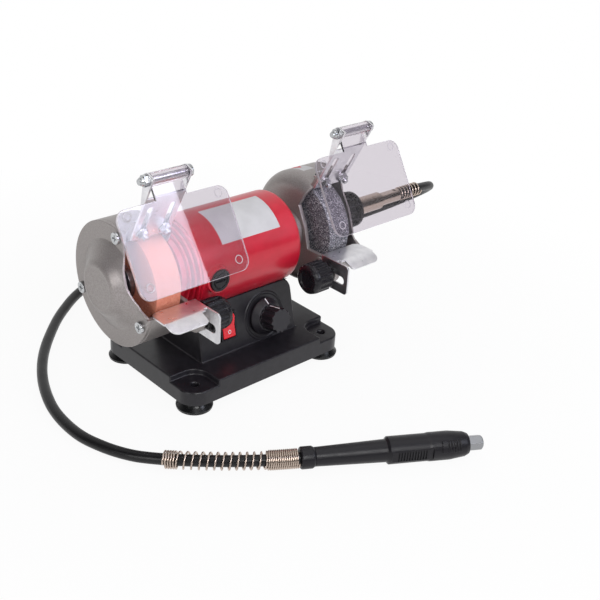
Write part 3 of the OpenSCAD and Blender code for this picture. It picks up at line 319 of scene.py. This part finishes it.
def handle_moulding():
    # Satin black nylon handpiece: smoother than the knobs, with a soft blue-grey sheen
    made, tree, shader = finish("satin_black_nylon", "#17151a", roughness=0.36, level=0.3)
    uneven(tree, shader, low=0.32, high=0.42, size=6)
    relief(tree, shader, size=0.8, height=0.04, strength=0.2)
    return made


def foot_rubber():
    # Moulded black rubber suction foot: dark and shiny from the mould
    made, tree, shader = finish("polished_black_rubber", "#0d0d0f", roughness=0.26, level=0.4)
    uneven(tree, shader, low=0.2, high=0.34, size=4)
    relief(tree, shader, size=1.5, height=0.03, strength=0.15)
    return made


def bright_zinc(name="bright_zinc_plate", tones=("#dddce0", "#ecebee"), roughness=0.3):
    # Bright zinc on cold-rolled sheet or on screws: soft silver broken by faint rolling lines
    made, tree, shader = finish(name, tones[0], roughness, metallic=1.0)
    mottle(tree, shader, low=tones[0], high=tones[1], size=6)
    uneven(tree, shader, low=roughness - 0.03, high=roughness + 0.05, size=4)
    relief(tree, shader, size=0.9, height=0.012, strength=0.2, stretch=(0.12, 1, 1))
    return made


def warm_nickel():
    # Nickel plate on turned steel: bright, slightly warm, with fine turning lines
    made, tree, shader = finish("turned_nickel_plate", "#c2b2a6", roughness=0.24, metallic=1.0)
    uneven(tree, shader, low=0.18, high=0.26, size=5)
    relief(tree, shader, size=0.6, height=0.008, strength=0.1, stretch=(4, 0.4, 0.4))
    return made


def machined_steel():
    # Plain machined steel: grey with fine tool marks
    made, tree, shader = finish("machined_steel", "#9b9c9f", roughness=0.32, metallic=1.0)
    uneven(tree, shader, low=0.26, high=0.42, size=4)
    relief(tree, shader, size=0.5, height=0.03, strength=0.25)
    return made


def abrasive(name, tones, grit):
    # Vitrified abrasive: grains of several tones in a porous bond, drawn coarser than real so that they show
    made, tree, shader = finish(name, tones[1], roughness=0.9, level=0.2)
    where = add(tree, "ShaderNodeTexCoord").outputs["Object"]
    grains = add(tree, "ShaderNodeTexVoronoi", {"Vector": where, "Scale": per_mm(grit)})
    ramp = add(tree, "ShaderNodeValToRGB", {"Fac": grains.outputs["Color"]})
    ramp.color_ramp.interpolation = "CONSTANT"
    ramp.color_ramp.elements[0].color = linear(tones[0])
    ramp.color_ramp.elements[1].position = 0.34
    ramp.color_ramp.elements[1].color = linear(tones[1])
    bright = ramp.color_ramp.elements.new(0.74)
    bright.color = linear(tones[2])
    tree.links.new(ramp.outputs["Color"], shader.inputs["Base Color"])
    values = {"Height": grains.outputs["Distance"], "Strength": 0.35, "Distance": 0.15 * MM}
    bump = add(tree, "ShaderNodeBump", values)
    tree.links.new(bump.outputs["Normal"], shader.inputs["Normal"])
    return made


def clear_polycarbonate():
    # Moulded polycarbonate: clear with a faint lilac cast, and it throws only a light shadow
    made, tree, shader = finish("clear_polycarbonate", "#dfd9e0", roughness=0.02, ior=1.58)
    shader.inputs["Transmission Weight"].default_value = 1.0
    uneven(tree, shader, low=0.0, high=0.04, size=30)
    light = add(tree, "ShaderNodeLightPath")
    shade = add(tree, "ShaderNodeBsdfTransparent", {"Color": linear("#eeeaf0")})
    both = add(tree, "ShaderNodeMixShader", {"Fac": light.outputs["Is Shadow Ray"]})
    tree.links.new(shader.outputs[0], both.inputs[1])
    tree.links.new(shade.outputs[0], both.inputs[2])
    out = next(node for node in tree.nodes if node.type == "OUTPUT_MATERIAL")
    tree.links.new(both.outputs[0], out.inputs["Surface"])
    return made


def frosted_polycarbonate():
    # Cut edges and ejector-pin rings of the shields: light on dark things behind them, and grey on white ones
    made, tree, shader = finish("frosted_polycarbonate", "#d6d0d8", roughness=0.4, ior=1.58, level=0.2)
    shader.inputs["Alpha"].default_value = 0.6
    uneven(tree, shader, low=0.34, high=0.5, size=1.5)
    return made


def red_rocker():
    # Moulded red ABS rocker: saturated and glossy
    made, tree, shader = finish("gloss_red_abs", "#e3172a", roughness=0.25, coat=0.2)
    uneven(tree, shader, low=0.2, high=0.32, size=4)
    return made


def white_vinyl():
    # White vinyl film: flat and even with a little tooth
    made, tree, shader = finish("white_vinyl_film", "#c6c5c7", roughness=0.5)
    mottle(tree, shader, low="#c2c1c3", high="#cac9cb", size=12)
    relief(tree, shader, size=0.6, height=0.02, strength=0.15)
    return made


def printed_ink(name, colour):
    # Screen-printed ink: a thin matte film of one colour
    made, tree, shader = finish(name, colour, roughness=0.55)
    uneven(tree, shader, low=0.5, high=0.62, size=2)
    return made


def sheath_plastic():
    # Extruded black PVC sheath: smooth with long soft highlights
    made, tree, shader = finish("extruded_black_pvc", "#101012", roughness=0.36, level=0.35)
    uneven(tree, shader, low=0.3, high=0.42, size=12)
    relief(tree, shader, size=1.5, height=0.03, strength=0.15)
    return made


def copper_bars():
    # Drawn copper segments, dulled by the brushes
    made, tree, shader = finish("drawn_copper", "#b87a4b", roughness=0.35, metallic=1.0)
    uneven(tree, shader, low=0.28, high=0.45, size=2)
    return made


# Shapes

def keep_mesh(obj):
    """Applies a piece's modifiers, so that it is a plain mesh at the origin."""
    bpy.context.view_layer.update()
    shape = bpy.data.meshes.new_from_object(obj.evaluated_get(bpy.context.evaluated_depsgraph_get()))
    made = link(bpy.data.objects.new(obj.name + ".kept", shape))
    name = obj.name
    bpy.data.objects.remove(obj)
    made.name = name
    return made


def smooth(mesh, angle=SHADE_BREAK):
    """Shades a mesh smooth, with breaks at edges sharper than an angle in degrees."""
    mesh.polygons.foreach_set("use_smooth", [True] * len(mesh.polygons))
    mesh.set_sharp_from_angle(angle=math.radians(angle))


def straighten_bulge(work):
    """Gives a cover's bulge straight flanks, whose boss and foot show as edges, and a thinner wall."""
    for v in work.verts:
        r = math.hypot(v.co.y, v.co.z - shaft_h) / MM
        climbed = min(max((BULGE_R - r) / (BULGE_R - BOSS_R), 0.0), 1.0)
        soft = climbed * climbed * (3 - 2 * climbed)
        depth = GUARD_OUT + soft * BULGE_H - abs(v.co.x) / MM
        thinned = 0.0
        if depth > COVER_T / 2:
            thinned = COVER_THINNED * min(max((COVER_RIM_IN - r) / (COVER_RIM_IN - BULGE_R), 0.0), 1.0)
        v.co.x += math.copysign(((climbed - soft) * BULGE_H + thinned) * MM, v.co.x)


def lower_rocker(work):
    """Brings the rocker's ends closer to its frame, whose rim then shows round it."""
    out = -Vector(joints["speed_turn"]["axis"]).normalized()
    pivot = Vector(joints["rocker_tip"]["pos_m"])
    for v in work.verts:
        proud = (v.co - pivot).dot(out)
        if proud > 0:
            v.co -= (1 - ROCKER_KEPT) * proud * out


def soften(node, width, material, above=-1.0, reshape=None, shade_break=SHADE_BREAK):
    """Stands a copy of a node in its place, with rounded edges above a height and evenly shaded faces."""
    mesh = nodes[node].data.copy()
    work = bmesh.new()
    work.from_mesh(mesh)
    bmesh.ops.remove_doubles(work, verts=work.verts, dist=MERGE_GAP * MM)
    if reshape:
        reshape(work)
    bmesh.ops.dissolve_limit(work, angle_limit=math.radians(FLAT_ANGLE), verts=work.verts, edges=work.edges)
    edges = [e for e in work.edges if e.is_manifold and e.calc_face_angle(0) > math.radians(EDGE_ANGLE)
             and min(v.co.z for v in e.verts) > above]
    bmesh.ops.bevel(work, geom=edges, offset=width * MM, offset_type="OFFSET", segments=EDGE_STRIPS,
                    profile=0.5, affect="EDGES", clamp_overlap=False)
    work.to_mesh(mesh)
    work.free()
    piece = link(bpy.data.objects.new(node + "_finished", mesh))
    smooth(mesh, shade_break)
    even = piece.modifiers.new("even_shading", "WEIGHTED_NORMAL")
    even.keep_sharp = True
    piece = keep_mesh(piece)
    piece.data.materials.clear()
    piece.data.materials.append(material)
    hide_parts(node)
    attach(piece, home[node])
    return piece


def frost_edges(piece, side, material):
    """Gives a shield's cut edges their own frosted look."""
    hinge = Vector(joints[side + "_shield_tilt"]["pos_m"])
    lean = math.radians(SHIELD_LEAN)
    up = Vector((0, math.sin(lean), math.cos(lean)))
    through = Vector((0, math.cos(lean), -math.sin(lean)))
    piece.data.materials.append(material)
    for polygon in piece.data.polygons:
        below = (polygon.center - hinge).dot(up) < -HINGE_D * MM
        polygon.material_index = int(below and abs(polygon.normal.dot(through)) < FROST_FACING)


def dress(piece, body, material):
    """Gives a new piece its material and the body it rides on."""
    piece.data.materials.clear()
    piece.data.materials.append(material)
    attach(piece, body)
    return piece


# Flexible shaft and springs

def spline(points, steps):
    """A smooth line through the route's points, kept on the bench."""
    points = [Vector(p) for p in points]
    line = []
    for i in range(len(points) - 1):
        a, b, c, d = points[max(i - 1, 0)], points[i], points[i + 1], points[min(i + 2, len(points) - 1)]
        for k in range(steps):
            t = k / steps
            square = (2 * a - 5 * b + 4 * c - d) * t ** 2
            cube = (3 * b - a - 3 * c + d) * t ** 3
            p = 0.5 * (2 * b + (c - a) * t + square + cube)
            line.append(Vector((p.x, p.y, max(p.z, FLEX_D / 2))))
    return line + [points[-1]]


def bend_point(a, b, c, u):
    """A point on the bend from a to c that b pulls."""
    return (1 - u) ** 2 * a + 2 * u * (1 - u) * b + u ** 2 * c


def line_curve(name, points):
    """A curve through points in millimetres."""
    data = bpy.data.curves.new(name, "CURVE")
    data.dimensions = "3D"
    run = data.splines.new("POLY")
    run.points.add(len(points) - 1)
    for knot, p in zip(run.points, points):
        knot.co = (p.x * MM, p.y * MM, p.z * MM, 1)
    return link(bpy.data.objects.new(name, data))


def reached(stretches, curls):
    """Share of a spring's length after a number of curls."""
    share = 0.0
    for count, part in stretches:
        share += part * min(curls, count) / count
        curls = max(curls - count, 0)
    return share


def coil_tree():
    """Geometry nodes that wind a wire round a line, one step of a curl for each of its points."""
    tree = bpy.data.node_groups.new("wire_coil", "GeometryNodeTree")
    tree.interface.new_socket("Geometry", in_out="INPUT", socket_type="NodeSocketGeometry")
    for name in ("Coil Radius", "Close Radius", "Open Curls", "Wire Radius", "Steps per Curl"):
        tree.interface.new_socket(name, in_out="INPUT", socket_type="NodeSocketFloat")
    tree.interface.new_socket("Material", in_out="INPUT", socket_type="NodeSocketMaterial")
    tree.interface.new_socket("Geometry", in_out="OUTPUT", socket_type="NodeSocketGeometry")
    given = add(tree, "NodeGroupInput").outputs
    upright = add(tree, "GeometryNodeSetCurveNormal", {"Curve": given["Geometry"]}, mode="Z_UP")
    index = add(tree, "GeometryNodeInputIndex").outputs[0]
    curls = add(tree, "ShaderNodeMath", {0: index, 1: given["Steps per Curl"]}, operation="DIVIDE").outputs[0]
    angle = add(tree, "ShaderNodeMath", {0: curls, 1: 2 * math.pi}, operation="MULTIPLY").outputs[0]
    closed = add(tree, "ShaderNodeMath", {0: given["Open Curls"], 1: 1.0}, operation="ADD").outputs[0]
    values = {"Value": curls, "From Min": given["Open Curls"], "From Max": closed,
              "To Min": given["Coil Radius"], "To Max": given["Close Radius"]}
    radius = add(tree, "ShaderNodeMapRange", values).outputs[0]
    side = add(tree, "GeometryNodeInputNormal").outputs["Normal"]
    ahead = add(tree, "GeometryNodeInputTangent").outputs[0]
    across = add(tree, "ShaderNodeVectorMath", {0: side, 1: ahead}, operation="CROSS_PRODUCT").outputs[0]
    parts = []
    for axis, wave in ((side, "COSINE"), (across, "SINE")):
        share = add(tree, "ShaderNodeMath", {0: angle}, operation=wave).outputs[0]
        reach = add(tree, "ShaderNodeMath", {0: share, 1: radius}, operation="MULTIPLY").outputs[0]
        scaled = add(tree, "ShaderNodeVectorMath", {0: axis, "Scale": reach}, operation="SCALE")
        parts.append(scaled.outputs[0])
    offset = add(tree, "ShaderNodeVectorMath", {0: parts[0], 1: parts[1]}, operation="ADD").outputs[0]
    wound = add(tree, "GeometryNodeSetPosition", {"Geometry": upright.outputs[0], "Offset": offset})
    values = {"Resolution": WIRE_SIDES, "Radius": given["Wire Radius"]}
    ring = add(tree, "GeometryNodeCurvePrimitiveCircle", values)
    values = {"Curve": wound.outputs[0], "Profile Curve": ring.outputs["Curve"], "Fill Caps": True}
    wire = add(tree, "GeometryNodeCurveToMesh", values)
    even = add(tree, "GeometryNodeSetShadeSmooth", {"Geometry": wire.outputs[0]})
    real = add(tree, "GeometryNodeRealizeInstances", {"Geometry": even.outputs[0]})
    values = {"Geometry": real.outputs[0], "Material": given["Material"]}
    dressed = add(tree, "GeometryNodeSetMaterial", values)
    add(tree, "NodeGroupOutput", {"Geometry": dressed.outputs[0]})
    return tree


def run_tree(obj, tree, values):
    """Runs geometry nodes on an object with named values, and keeps the mesh."""
    modifier = obj.modifiers.new("nodes", "NODES")
    modifier.node_group = tree
    for item in tree.interface.items_tree:
        if item.in_out == "INPUT" and item.name in values:
            modifier[item.identifier] = values[item.name]
    return keep_mesh(obj)


def make_spring(name, ends, stretches, diameters, wire_d, open_curls, material, tree):
    """A spring on a bent line, whose diameter changes after its open curls."""
    a, b, c = ends
    curls = sum(count for count, _ in stretches)
    shares = [reached(stretches, j / STEPS_PER_CURL) for j in range(curls * STEPS_PER_CURL + 1)]
    axis = line_curve(name + "_coil", [bend_point(a, b, c, u) for u in shares])
    values = {"Coil Radius": (diameters[0] - wire_d) / 2 * MM,
              "Close Radius": (diameters[1] - wire_d) / 2 * MM,
              "Open Curls": float(open_curls), "Wire Radius": wire_d / 2 * MM,
              "Steps per Curl": float(STEPS_PER_CURL), "Material": material}
    piece = run_tree(axis, tree, values)
    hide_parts(name)
    dress(piece, home[name], material)
    return piece


def make_flexible_shaft(sheath, nickel):
    shares = [k / TAIL_STEPS for k in range(1, TAIL_STEPS + 1)]
    tail = [bend_point(SPRING_TAIL, SPRING_BEND, HAND_PLACE, share) for share in shares]
    line = spline(ROUTE + [SPRING_TAIL], ROUTE_STEPS) + tail
    piece = line_curve("flexible_shaft_sheath", line)
    piece.data.bevel_depth = FLEX_D / 2 * MM
    piece.data.bevel_resolution = SHEATH_ROUNDNESS
    piece.data.use_fill_caps = True
    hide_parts("flex_shaft")
    dress(piece, home["flex_shaft"], sheath)
    tree = coil_tree()
    start = Vector((FERRULE_OUT + WIRE_CLEAR, 0, AXIS_H))
    end = start + Vector((COUPLING_SPRING_LEN, 0, 0))
    hand_end = HAND_PLACE - WIRE_CLEAR * HAND_DIR
    springs = [
        make_spring("coupling_spring", (start, (start + end) / 2, end), COUPLING_STRETCHES,
                    (COUPLING_SPRING_D, COUPLING_SPRING_D), COUPLING_WIRE_D, 0, nickel, tree),
        make_spring("hand_spring", (SPRING_TAIL, SPRING_BEND, hand_end), HAND_STRETCHES,
                    (HAND_SPRING_D, HAND_CLOSE_D), HAND_WIRE_D, HAND_OPEN_CURLS, nickel, tree),
    ]


# Marks

def mesh_piece(name, verts, faces):
    mesh = bpy.data.meshes.new(name)
    mesh.from_pydata([tuple(v) for v in verts], [], faces)
    mesh.validate()
    return link(bpy.data.objects.new(name, mesh))


def film(name, verts, faces):
    """Gives a thin mark its thickness, away from what carries it."""
    piece = mesh_piece(name, verts, faces)
    wall = piece.modifiers.new("film", "SOLIDIFY")
    wall.thickness = FILM_T * MM
    wall.offset = 1.0
    piece = keep_mesh(piece)
    smooth(piece.data)
    return piece


def film_rows(first, sweep, steps, low, high):
    """Rows of a plain film, each of an angle and two places along X."""
    return [(first + sweep * k / steps, low, high) for k in range(steps + 1)]


def wrapped_film(name, radius, rows, gap=FILM_GAP):
    """A film on a drum about the spindle, from rows of an angle and two places along X."""
    verts = []
    for angle, low, high in rows:
        a = math.radians(angle)
        r = (radius + gap) * MM
        verts += [(x * MM, r * math.cos(a), shaft_h + r * math.sin(a)) for x in (low, high)]
    faces = [(2 * k, 2 * k + 1, 2 * k + 3, 2 * k + 2) for k in range(len(rows) - 1)]
    return film(name, verts, faces)


def laid_film(name, mesh, patches, middle, across, up):
    """A film of four-cornered patches in millimetres, laid on a mesh along the direction they face."""
    corners = [v.co for v in mesh.vertices]
    ground = BVHTree.FromPolygons(corners, [list(p.vertices) for p in mesh.polygons])
    facing = across.cross(up).normalized()
    verts = []
    for patch in patches:
        for u, v in patch:
            start = middle + (u * across + v * up + MARK_START * facing) * MM
            hit = ground.ray_cast(start, -facing)[0]
            verts.append(hit + FILM_GAP * MM * facing)
    faces = [tuple(range(4 * k, 4 * k + 4)) for k in range(len(patches))]
    return film(name, verts, faces)


def bar(u, v, width, height, parts=6):
    """An upright bar about a place, cut into short patches that can follow a curved surface."""
    left = u - width / 2
    right = u + width / 2
    step = height / parts
    rows = [v - height / 2 + k * step for k in range(parts + 1)]
    return [[(left, a), (right, a), (right, b), (left, b)] for a, b in zip(rows, rows[1:])]


def hoop(u, v, inner, outer, parts=28):
    """A ring about a place."""
    spots = [(math.cos(2 * math.pi * k / parts), math.sin(2 * math.pi * k / parts)) for k in range(parts + 1)]
    return [[(u + inner * a[0], v + inner * a[1]), (u + outer * a[0], v + outer * a[1]),
             (u + outer * b[0], v + outer * b[1]), (u + inner * b[0], v + inner * b[1])]
            for a, b in zip(spots, spots[1:])]


def mould_ring_tree():
    """Geometry nodes that stand a small moulded ring on each point, with its flat along the given turn."""
    tree = bpy.data.node_groups.new("mould_rings", "GeometryNodeTree")
    tree.interface.new_socket("Geometry", in_out="INPUT", socket_type="NodeSocketGeometry")
    tree.interface.new_socket("Ring Radius", in_out="INPUT", socket_type="NodeSocketFloat")
    tree.interface.new_socket("Bead Radius", in_out="INPUT", socket_type="NodeSocketFloat")
    tree.interface.new_socket("Tip", in_out="INPUT", socket_type="NodeSocketFloat")
    tree.interface.new_socket("Material", in_out="INPUT", socket_type="NodeSocketMaterial")
    tree.interface.new_socket("Geometry", in_out="OUTPUT", socket_type="NodeSocketGeometry")
    given = add(tree, "NodeGroupInput").outputs
    values = {"Resolution": RING_STEPS, "Radius": given["Ring Radius"]}
    path = add(tree, "GeometryNodeCurvePrimitiveCircle", values)
    values = {"Resolution": BEAD_STEPS, "Radius": given["Bead Radius"]}
    bead = add(tree, "GeometryNodeCurvePrimitiveCircle", values)
    values = {"Curve": path.outputs["Curve"], "Profile Curve": bead.outputs["Curve"]}
    ring = add(tree, "GeometryNodeCurveToMesh", values)
    even = add(tree, "GeometryNodeSetShadeSmooth", {"Geometry": ring.outputs[0]})
    turn = add(tree, "ShaderNodeCombineXYZ", {"X": given["Tip"]})
    values = {"Points": given["Geometry"], "Instance": even.outputs[0], "Rotation": turn.outputs[0]}
    stood = add(tree, "GeometryNodeInstanceOnPoints", values)
    real = add(tree, "GeometryNodeRealizeInstances", {"Geometry": stood.outputs[0]})
    values = {"Geometry": real.outputs[0], "Material": given["Material"]}
    dressed = add(tree, "GeometryNodeSetMaterial", values)
    add(tree, "NodeGroupOutput", {"Geometry": dressed.outputs[0]})
    return tree


def make_mould_rings(side, tree, material):
    """Rings near a shield's corners, on the face that the wheel doesn't see."""
    hinge = Vector(joints[side + "_shield_tilt"]["pos_m"])
    lean = math.radians(SHIELD_LEAN)
    up = Vector((0, math.sin(lean), math.cos(lean)))
    back = Vector((0, math.cos(lean), -math.sin(lean)))
    face = hinge + (HINGE_D / 2 - SHIELD_T) * MM * back
    spots = [face + (u * Vector((1, 0, 0)) + v * up) * MM for u in RING_ACROSS for v in RING_UP]
    holder = mesh_piece(side + "_shield_mould_rings", spots, [])
    values = {"Ring Radius": RING_R * MM, "Bead Radius": BEAD_R * MM, "Tip": math.pi / 2 - lean,
              "Material": material}
    piece = run_tree(holder, tree, values)
    dress(piece, side + "_shield", material)


def reach_along(mesh, start, out):
    """How far a mesh reaches from a place along a direction, in millimetres."""
    return max((v.co - start).dot(out) for v in mesh.vertices) / MM


def make_switch_and_dial_marks(rocker_mesh, dial_mesh, white):
    """The circle and bar on the rocker, and the dial's pointer over its skirt and along its grip."""
    across = Vector((1, 0, 0))
    out = -Vector(joints["speed_turn"]["axis"]).normalized()
    up = out.cross(across)
    rocker = Vector(joints["rocker_tip"]["pos_m"])
    dial = Vector(joints["speed_turn"]["pos_m"])
    marks = hoop(0, CIRCLE_UP, *CIRCLE_RADII) + bar(0, BAR_UP, *BAR_SIZE)
    dress(laid_film("rocker_marks", rocker_mesh, marks, rocker, across, up), "rocker", white)
    skirt_middle = (GRIP_R + DIAL_R) / 2 + SKIRT_LINE_SHIFT
    on_skirt = bar(0, skirt_middle, POINTER_W, DIAL_R - GRIP_R - SKIRT_LINE_SHORTER)
    piece = laid_film("dial_pointer_skirt", dial_mesh, on_skirt, dial, across, up)
    dress(piece, "speed_knob", white)
    grip_end = reach_along(dial_mesh, dial, out) - GRIP_LINE_END
    on_grip = bar(0, (GRIP_LINE_START + grip_end) / 2, POINTER_W, grip_end - GRIP_LINE_START)
    piece = laid_film("dial_pointer_grip", dial_mesh, on_grip, dial, -across, out)
    dress(piece, "speed_knob", white)


# Studio

def lay_floor():
    """A white floor that keeps the object's shadow close to it."""
    pale = bpy.data.materials.new("pale_studio_floor")
    pale.use_nodes = True
    tree = pale.node_tree
    tree.nodes.clear()
    matte = add(tree, "ShaderNodeBsdfDiffuse", {"Color": linear("#dcdcdc")})
    glow = add(tree, "ShaderNodeEmission", {"Color": (1, 1, 1, 1), "Strength": 1.0})
    path = add(tree, "ShaderNodeLightPath")
    seen = add(tree, "ShaderNodeMath", {0: path.outputs["Is Camera Ray"], 1: path.outputs["Is Glossy Ray"]},
               operation="MAXIMUM")
    through = add(tree, "ShaderNodeMath", {0: seen.outputs[0], 1: path.outputs["Is Transmission Ray"]},
                  operation="MAXIMUM")
    # White all over away from the object, and close to it partly the lit floor, which holds the shadow
    spot = add(tree, "ShaderNodeTexCoord").outputs["Object"]
    away = add(tree, "ShaderNodeVectorMath", {0: spot}, operation="LENGTH").outputs["Value"]
    values = {"Value": away, "From Min": FLOOR_NEAR[0], "From Max": FLOOR_AWAY[0],
              "To Min": FLOOR_NEAR[1], "To Max": FLOOR_AWAY[1]}
    whiteness = add(tree, "ShaderNodeMapRange", values).outputs["Result"]
    share = add(tree, "ShaderNodeMath", {0: through.outputs[0], 1: whiteness}, operation="MULTIPLY")
    mix = add(tree, "ShaderNodeMixShader", {"Fac": share.outputs[0]})
    tree.links.new(matte.outputs[0], mix.inputs[1])
    tree.links.new(glow.outputs[0], mix.inputs[2])
    add(tree, "ShaderNodeOutputMaterial", {"Surface": mix.outputs[0]})
    half = FLOOR_HALF
    corners = [(-half, -half, 0), (half, -half, 0), (half, half, 0), (-half, half, 0)]
    floor = mesh_piece("studio_floor", corners, [(0, 1, 2, 3)])
    floor.data.materials.append(pale)


def light_room():
    """A room with a bright back wall, dim elsewhere, and white where the camera looks past the floor."""
    world = bpy.data.worlds.new("studio")
    bpy.context.scene.world = world
    world.use_nodes = True
    tree = world.node_tree
    tree.nodes.clear()
    spot = add(tree, "ShaderNodeTexCoord").outputs["Generated"]
    behind = add(tree, "ShaderNodeVectorMath", {0: spot, 1: ROOM_BACK}, operation="DOT_PRODUCT")
    values = {"Value": behind.outputs["Value"], "From Min": ROOM_DIM[0], "From Max": ROOM_BRIGHT[0],
              "To Min": ROOM_DIM[1], "To Max": ROOM_BRIGHT[1]}
    room = add(tree, "ShaderNodeMapRange", values).outputs["Result"]
    path = add(tree, "ShaderNodeLightPath")
    values = {0: path.outputs["Is Camera Ray"], 1: path.outputs["Is Transmission Ray"]}
    seen = add(tree, "ShaderNodeMath", values, operation="MAXIMUM").outputs[0]
    level = add(tree, "ShaderNodeMath", {0: room, 1: seen}, operation="MAXIMUM").outputs[0]
    sky = add(tree, "ShaderNodeBackground", {"Color": (1, 1, 1, 1), "Strength": level})
    add(tree, "ShaderNodeOutputWorld", {"Surface": sky.outputs[0]})


def hang_lamps():
    for name, stand, size, power, tone, turn in LAMPS:
        data = bpy.data.lights.new(name, "AREA")
        data.shape = "RECTANGLE"
        data.size = size[0]
        data.size_y = size[1]
        data.energy = power
        data.color = linear(tone)[:3]
        lamp = link(bpy.data.objects.new(name, data))
        lamp.location = stand
        lamp.rotation_euler = (LAMP_AIM - Vector(stand)).to_track_quat("-Z", "Y").to_euler()
        lamp.rotation_euler.rotate_axis("Z", math.radians(turn))


make_camera()
nickel = warm_nickel()
make_flexible_shaft(sheath_plastic(), nickel)

guard_grey = hammered_enamel()
motor_red = red_enamel()
base_black = black_enamel()
knob_black = black_moulding()
hand_black = handle_moulding()
zinc = bright_zinc()
steel = machined_steel()
screw_zinc = bright_zinc("zinc_plated_screw", ("#b4b6b8", "#c6c8ca"), 0.18)
clear = clear_polycarbonate()
orange_stone = abrasive("orange_vitrified_abrasive", ("#bf7059", "#cd8067", "#d9937b"), 0.6)
grey_stone = abrasive("grey_vitrified_abrasive", ("#424246", "#74747a", "#b6b5b8"), 0.65)

# Each node's edge rounding in millimetres and its finish
FINISHED = [
    (base_black, 0.3, ["bottom_cover"]),
    (foot_rubber(), 0.15, ["rubber_feet"]),
    (motor_red, 0.5, ["motor_housing", "left_end_bell"]),
    (guard_grey, 0.6, ["left_guard", "right_guard", "right_end_bell"]),
    (orange_stone, 0.5, ["left_wheel"]),
    (grey_stone, 0.5, ["right_wheel"]),
    (zinc, 0.25, ["left_bracket", "right_bracket", "left_rest", "right_rest"]),
    (zinc, 0.15, ["left_stud", "right_stud"]),
    (screw_zinc, 0.15, ["bracket_screws", "left_pivot", "right_pivot"]),
    (screw_zinc, 0.3, ["cover_screws"]),
    (knob_black, 0.5, ["left_knob", "right_knob"]),
    (black_moulding("moulded_black_dial_abs", "#1f1d23", 0.42, 0.5), 0.5, ["speed_knob"]),
    (black_moulding("black_nylon_nut", "#0e0d10", level=0.18), 0.15, ["union_nut"]),
    (knob_black, 0.3, ["brush_caps", "switch_frame", "cord_gland", "speed_control"]),
    (nickel, 0.3, ["coupling_spigot", "coupling_sleeve", "coupling_ferrule"]),
    (hand_black, 0.12, ["hand_body"]),
    (hand_black, 0.4, ["hand_collar"]),
    (steel, 0.3, ["collet", "left_nut", "drive_nut", "wheel_clamps", "spacer_sleeves", "spindle",
                  "speed_shaft", "left_bearing", "right_bearing", "stator_core", "armature"]),
    (copper_bars(), 0.2, ["commutator"]),
    (knob_black, 0.2, ["carbon_brushes"]),
]
for material, width, members in FINISHED:
    for node in members:
        soften(node, width, material)

rocker_piece = soften("rocker", 0.5, red_rocker(), reshape=lower_rocker)
soften("base_casting", 1.2, base_black, above=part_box("base_casting")[0].z + BASE_OPEN_H * MM)
frosted = frosted_polycarbonate()
for side in ("left", "right"):
    soften(side + "_cover", 0.4, guard_grey, reshape=straighten_bulge, shade_break=COVER_SHADE_BREAK)
    frost_edges(soften(side + "_shield", 0.25, clear), side, frosted)

motor_low, motor_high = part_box("motor_housing")
motor_r = (motor_high.z - motor_low.z) / 2 / MM
vinyl = white_vinyl()
white_ink = printed_ink("white_printing_ink", "#e8e8ec")
red_ink = printed_ink("red_printing_ink", "#d23a48")
dress(wrapped_film("motor_label", motor_r, film_rows(*LABEL)), "grinder", vinyl)
dress(wrapped_film("turning_sign_film", GUARD_R, film_rows(*SIGN)), "grinder", vinyl)
arrow = wrapped_film("turning_sign_arrow", GUARD_R, ARROW_ROWS, gap=ARROW_GAP)
dress(arrow, "grinder", red_ink)
make_switch_and_dial_marks(rocker_piece.data, nodes["speed_knob"].data, white_ink)
ring_tree = mould_ring_tree()
for side in ("left", "right"):
    make_mould_rings(side, ring_tree, frosted)

lay_floor()
light_room()
hang_lamps()
bpy.context.scene.view_settings.view_transform = "Standard"
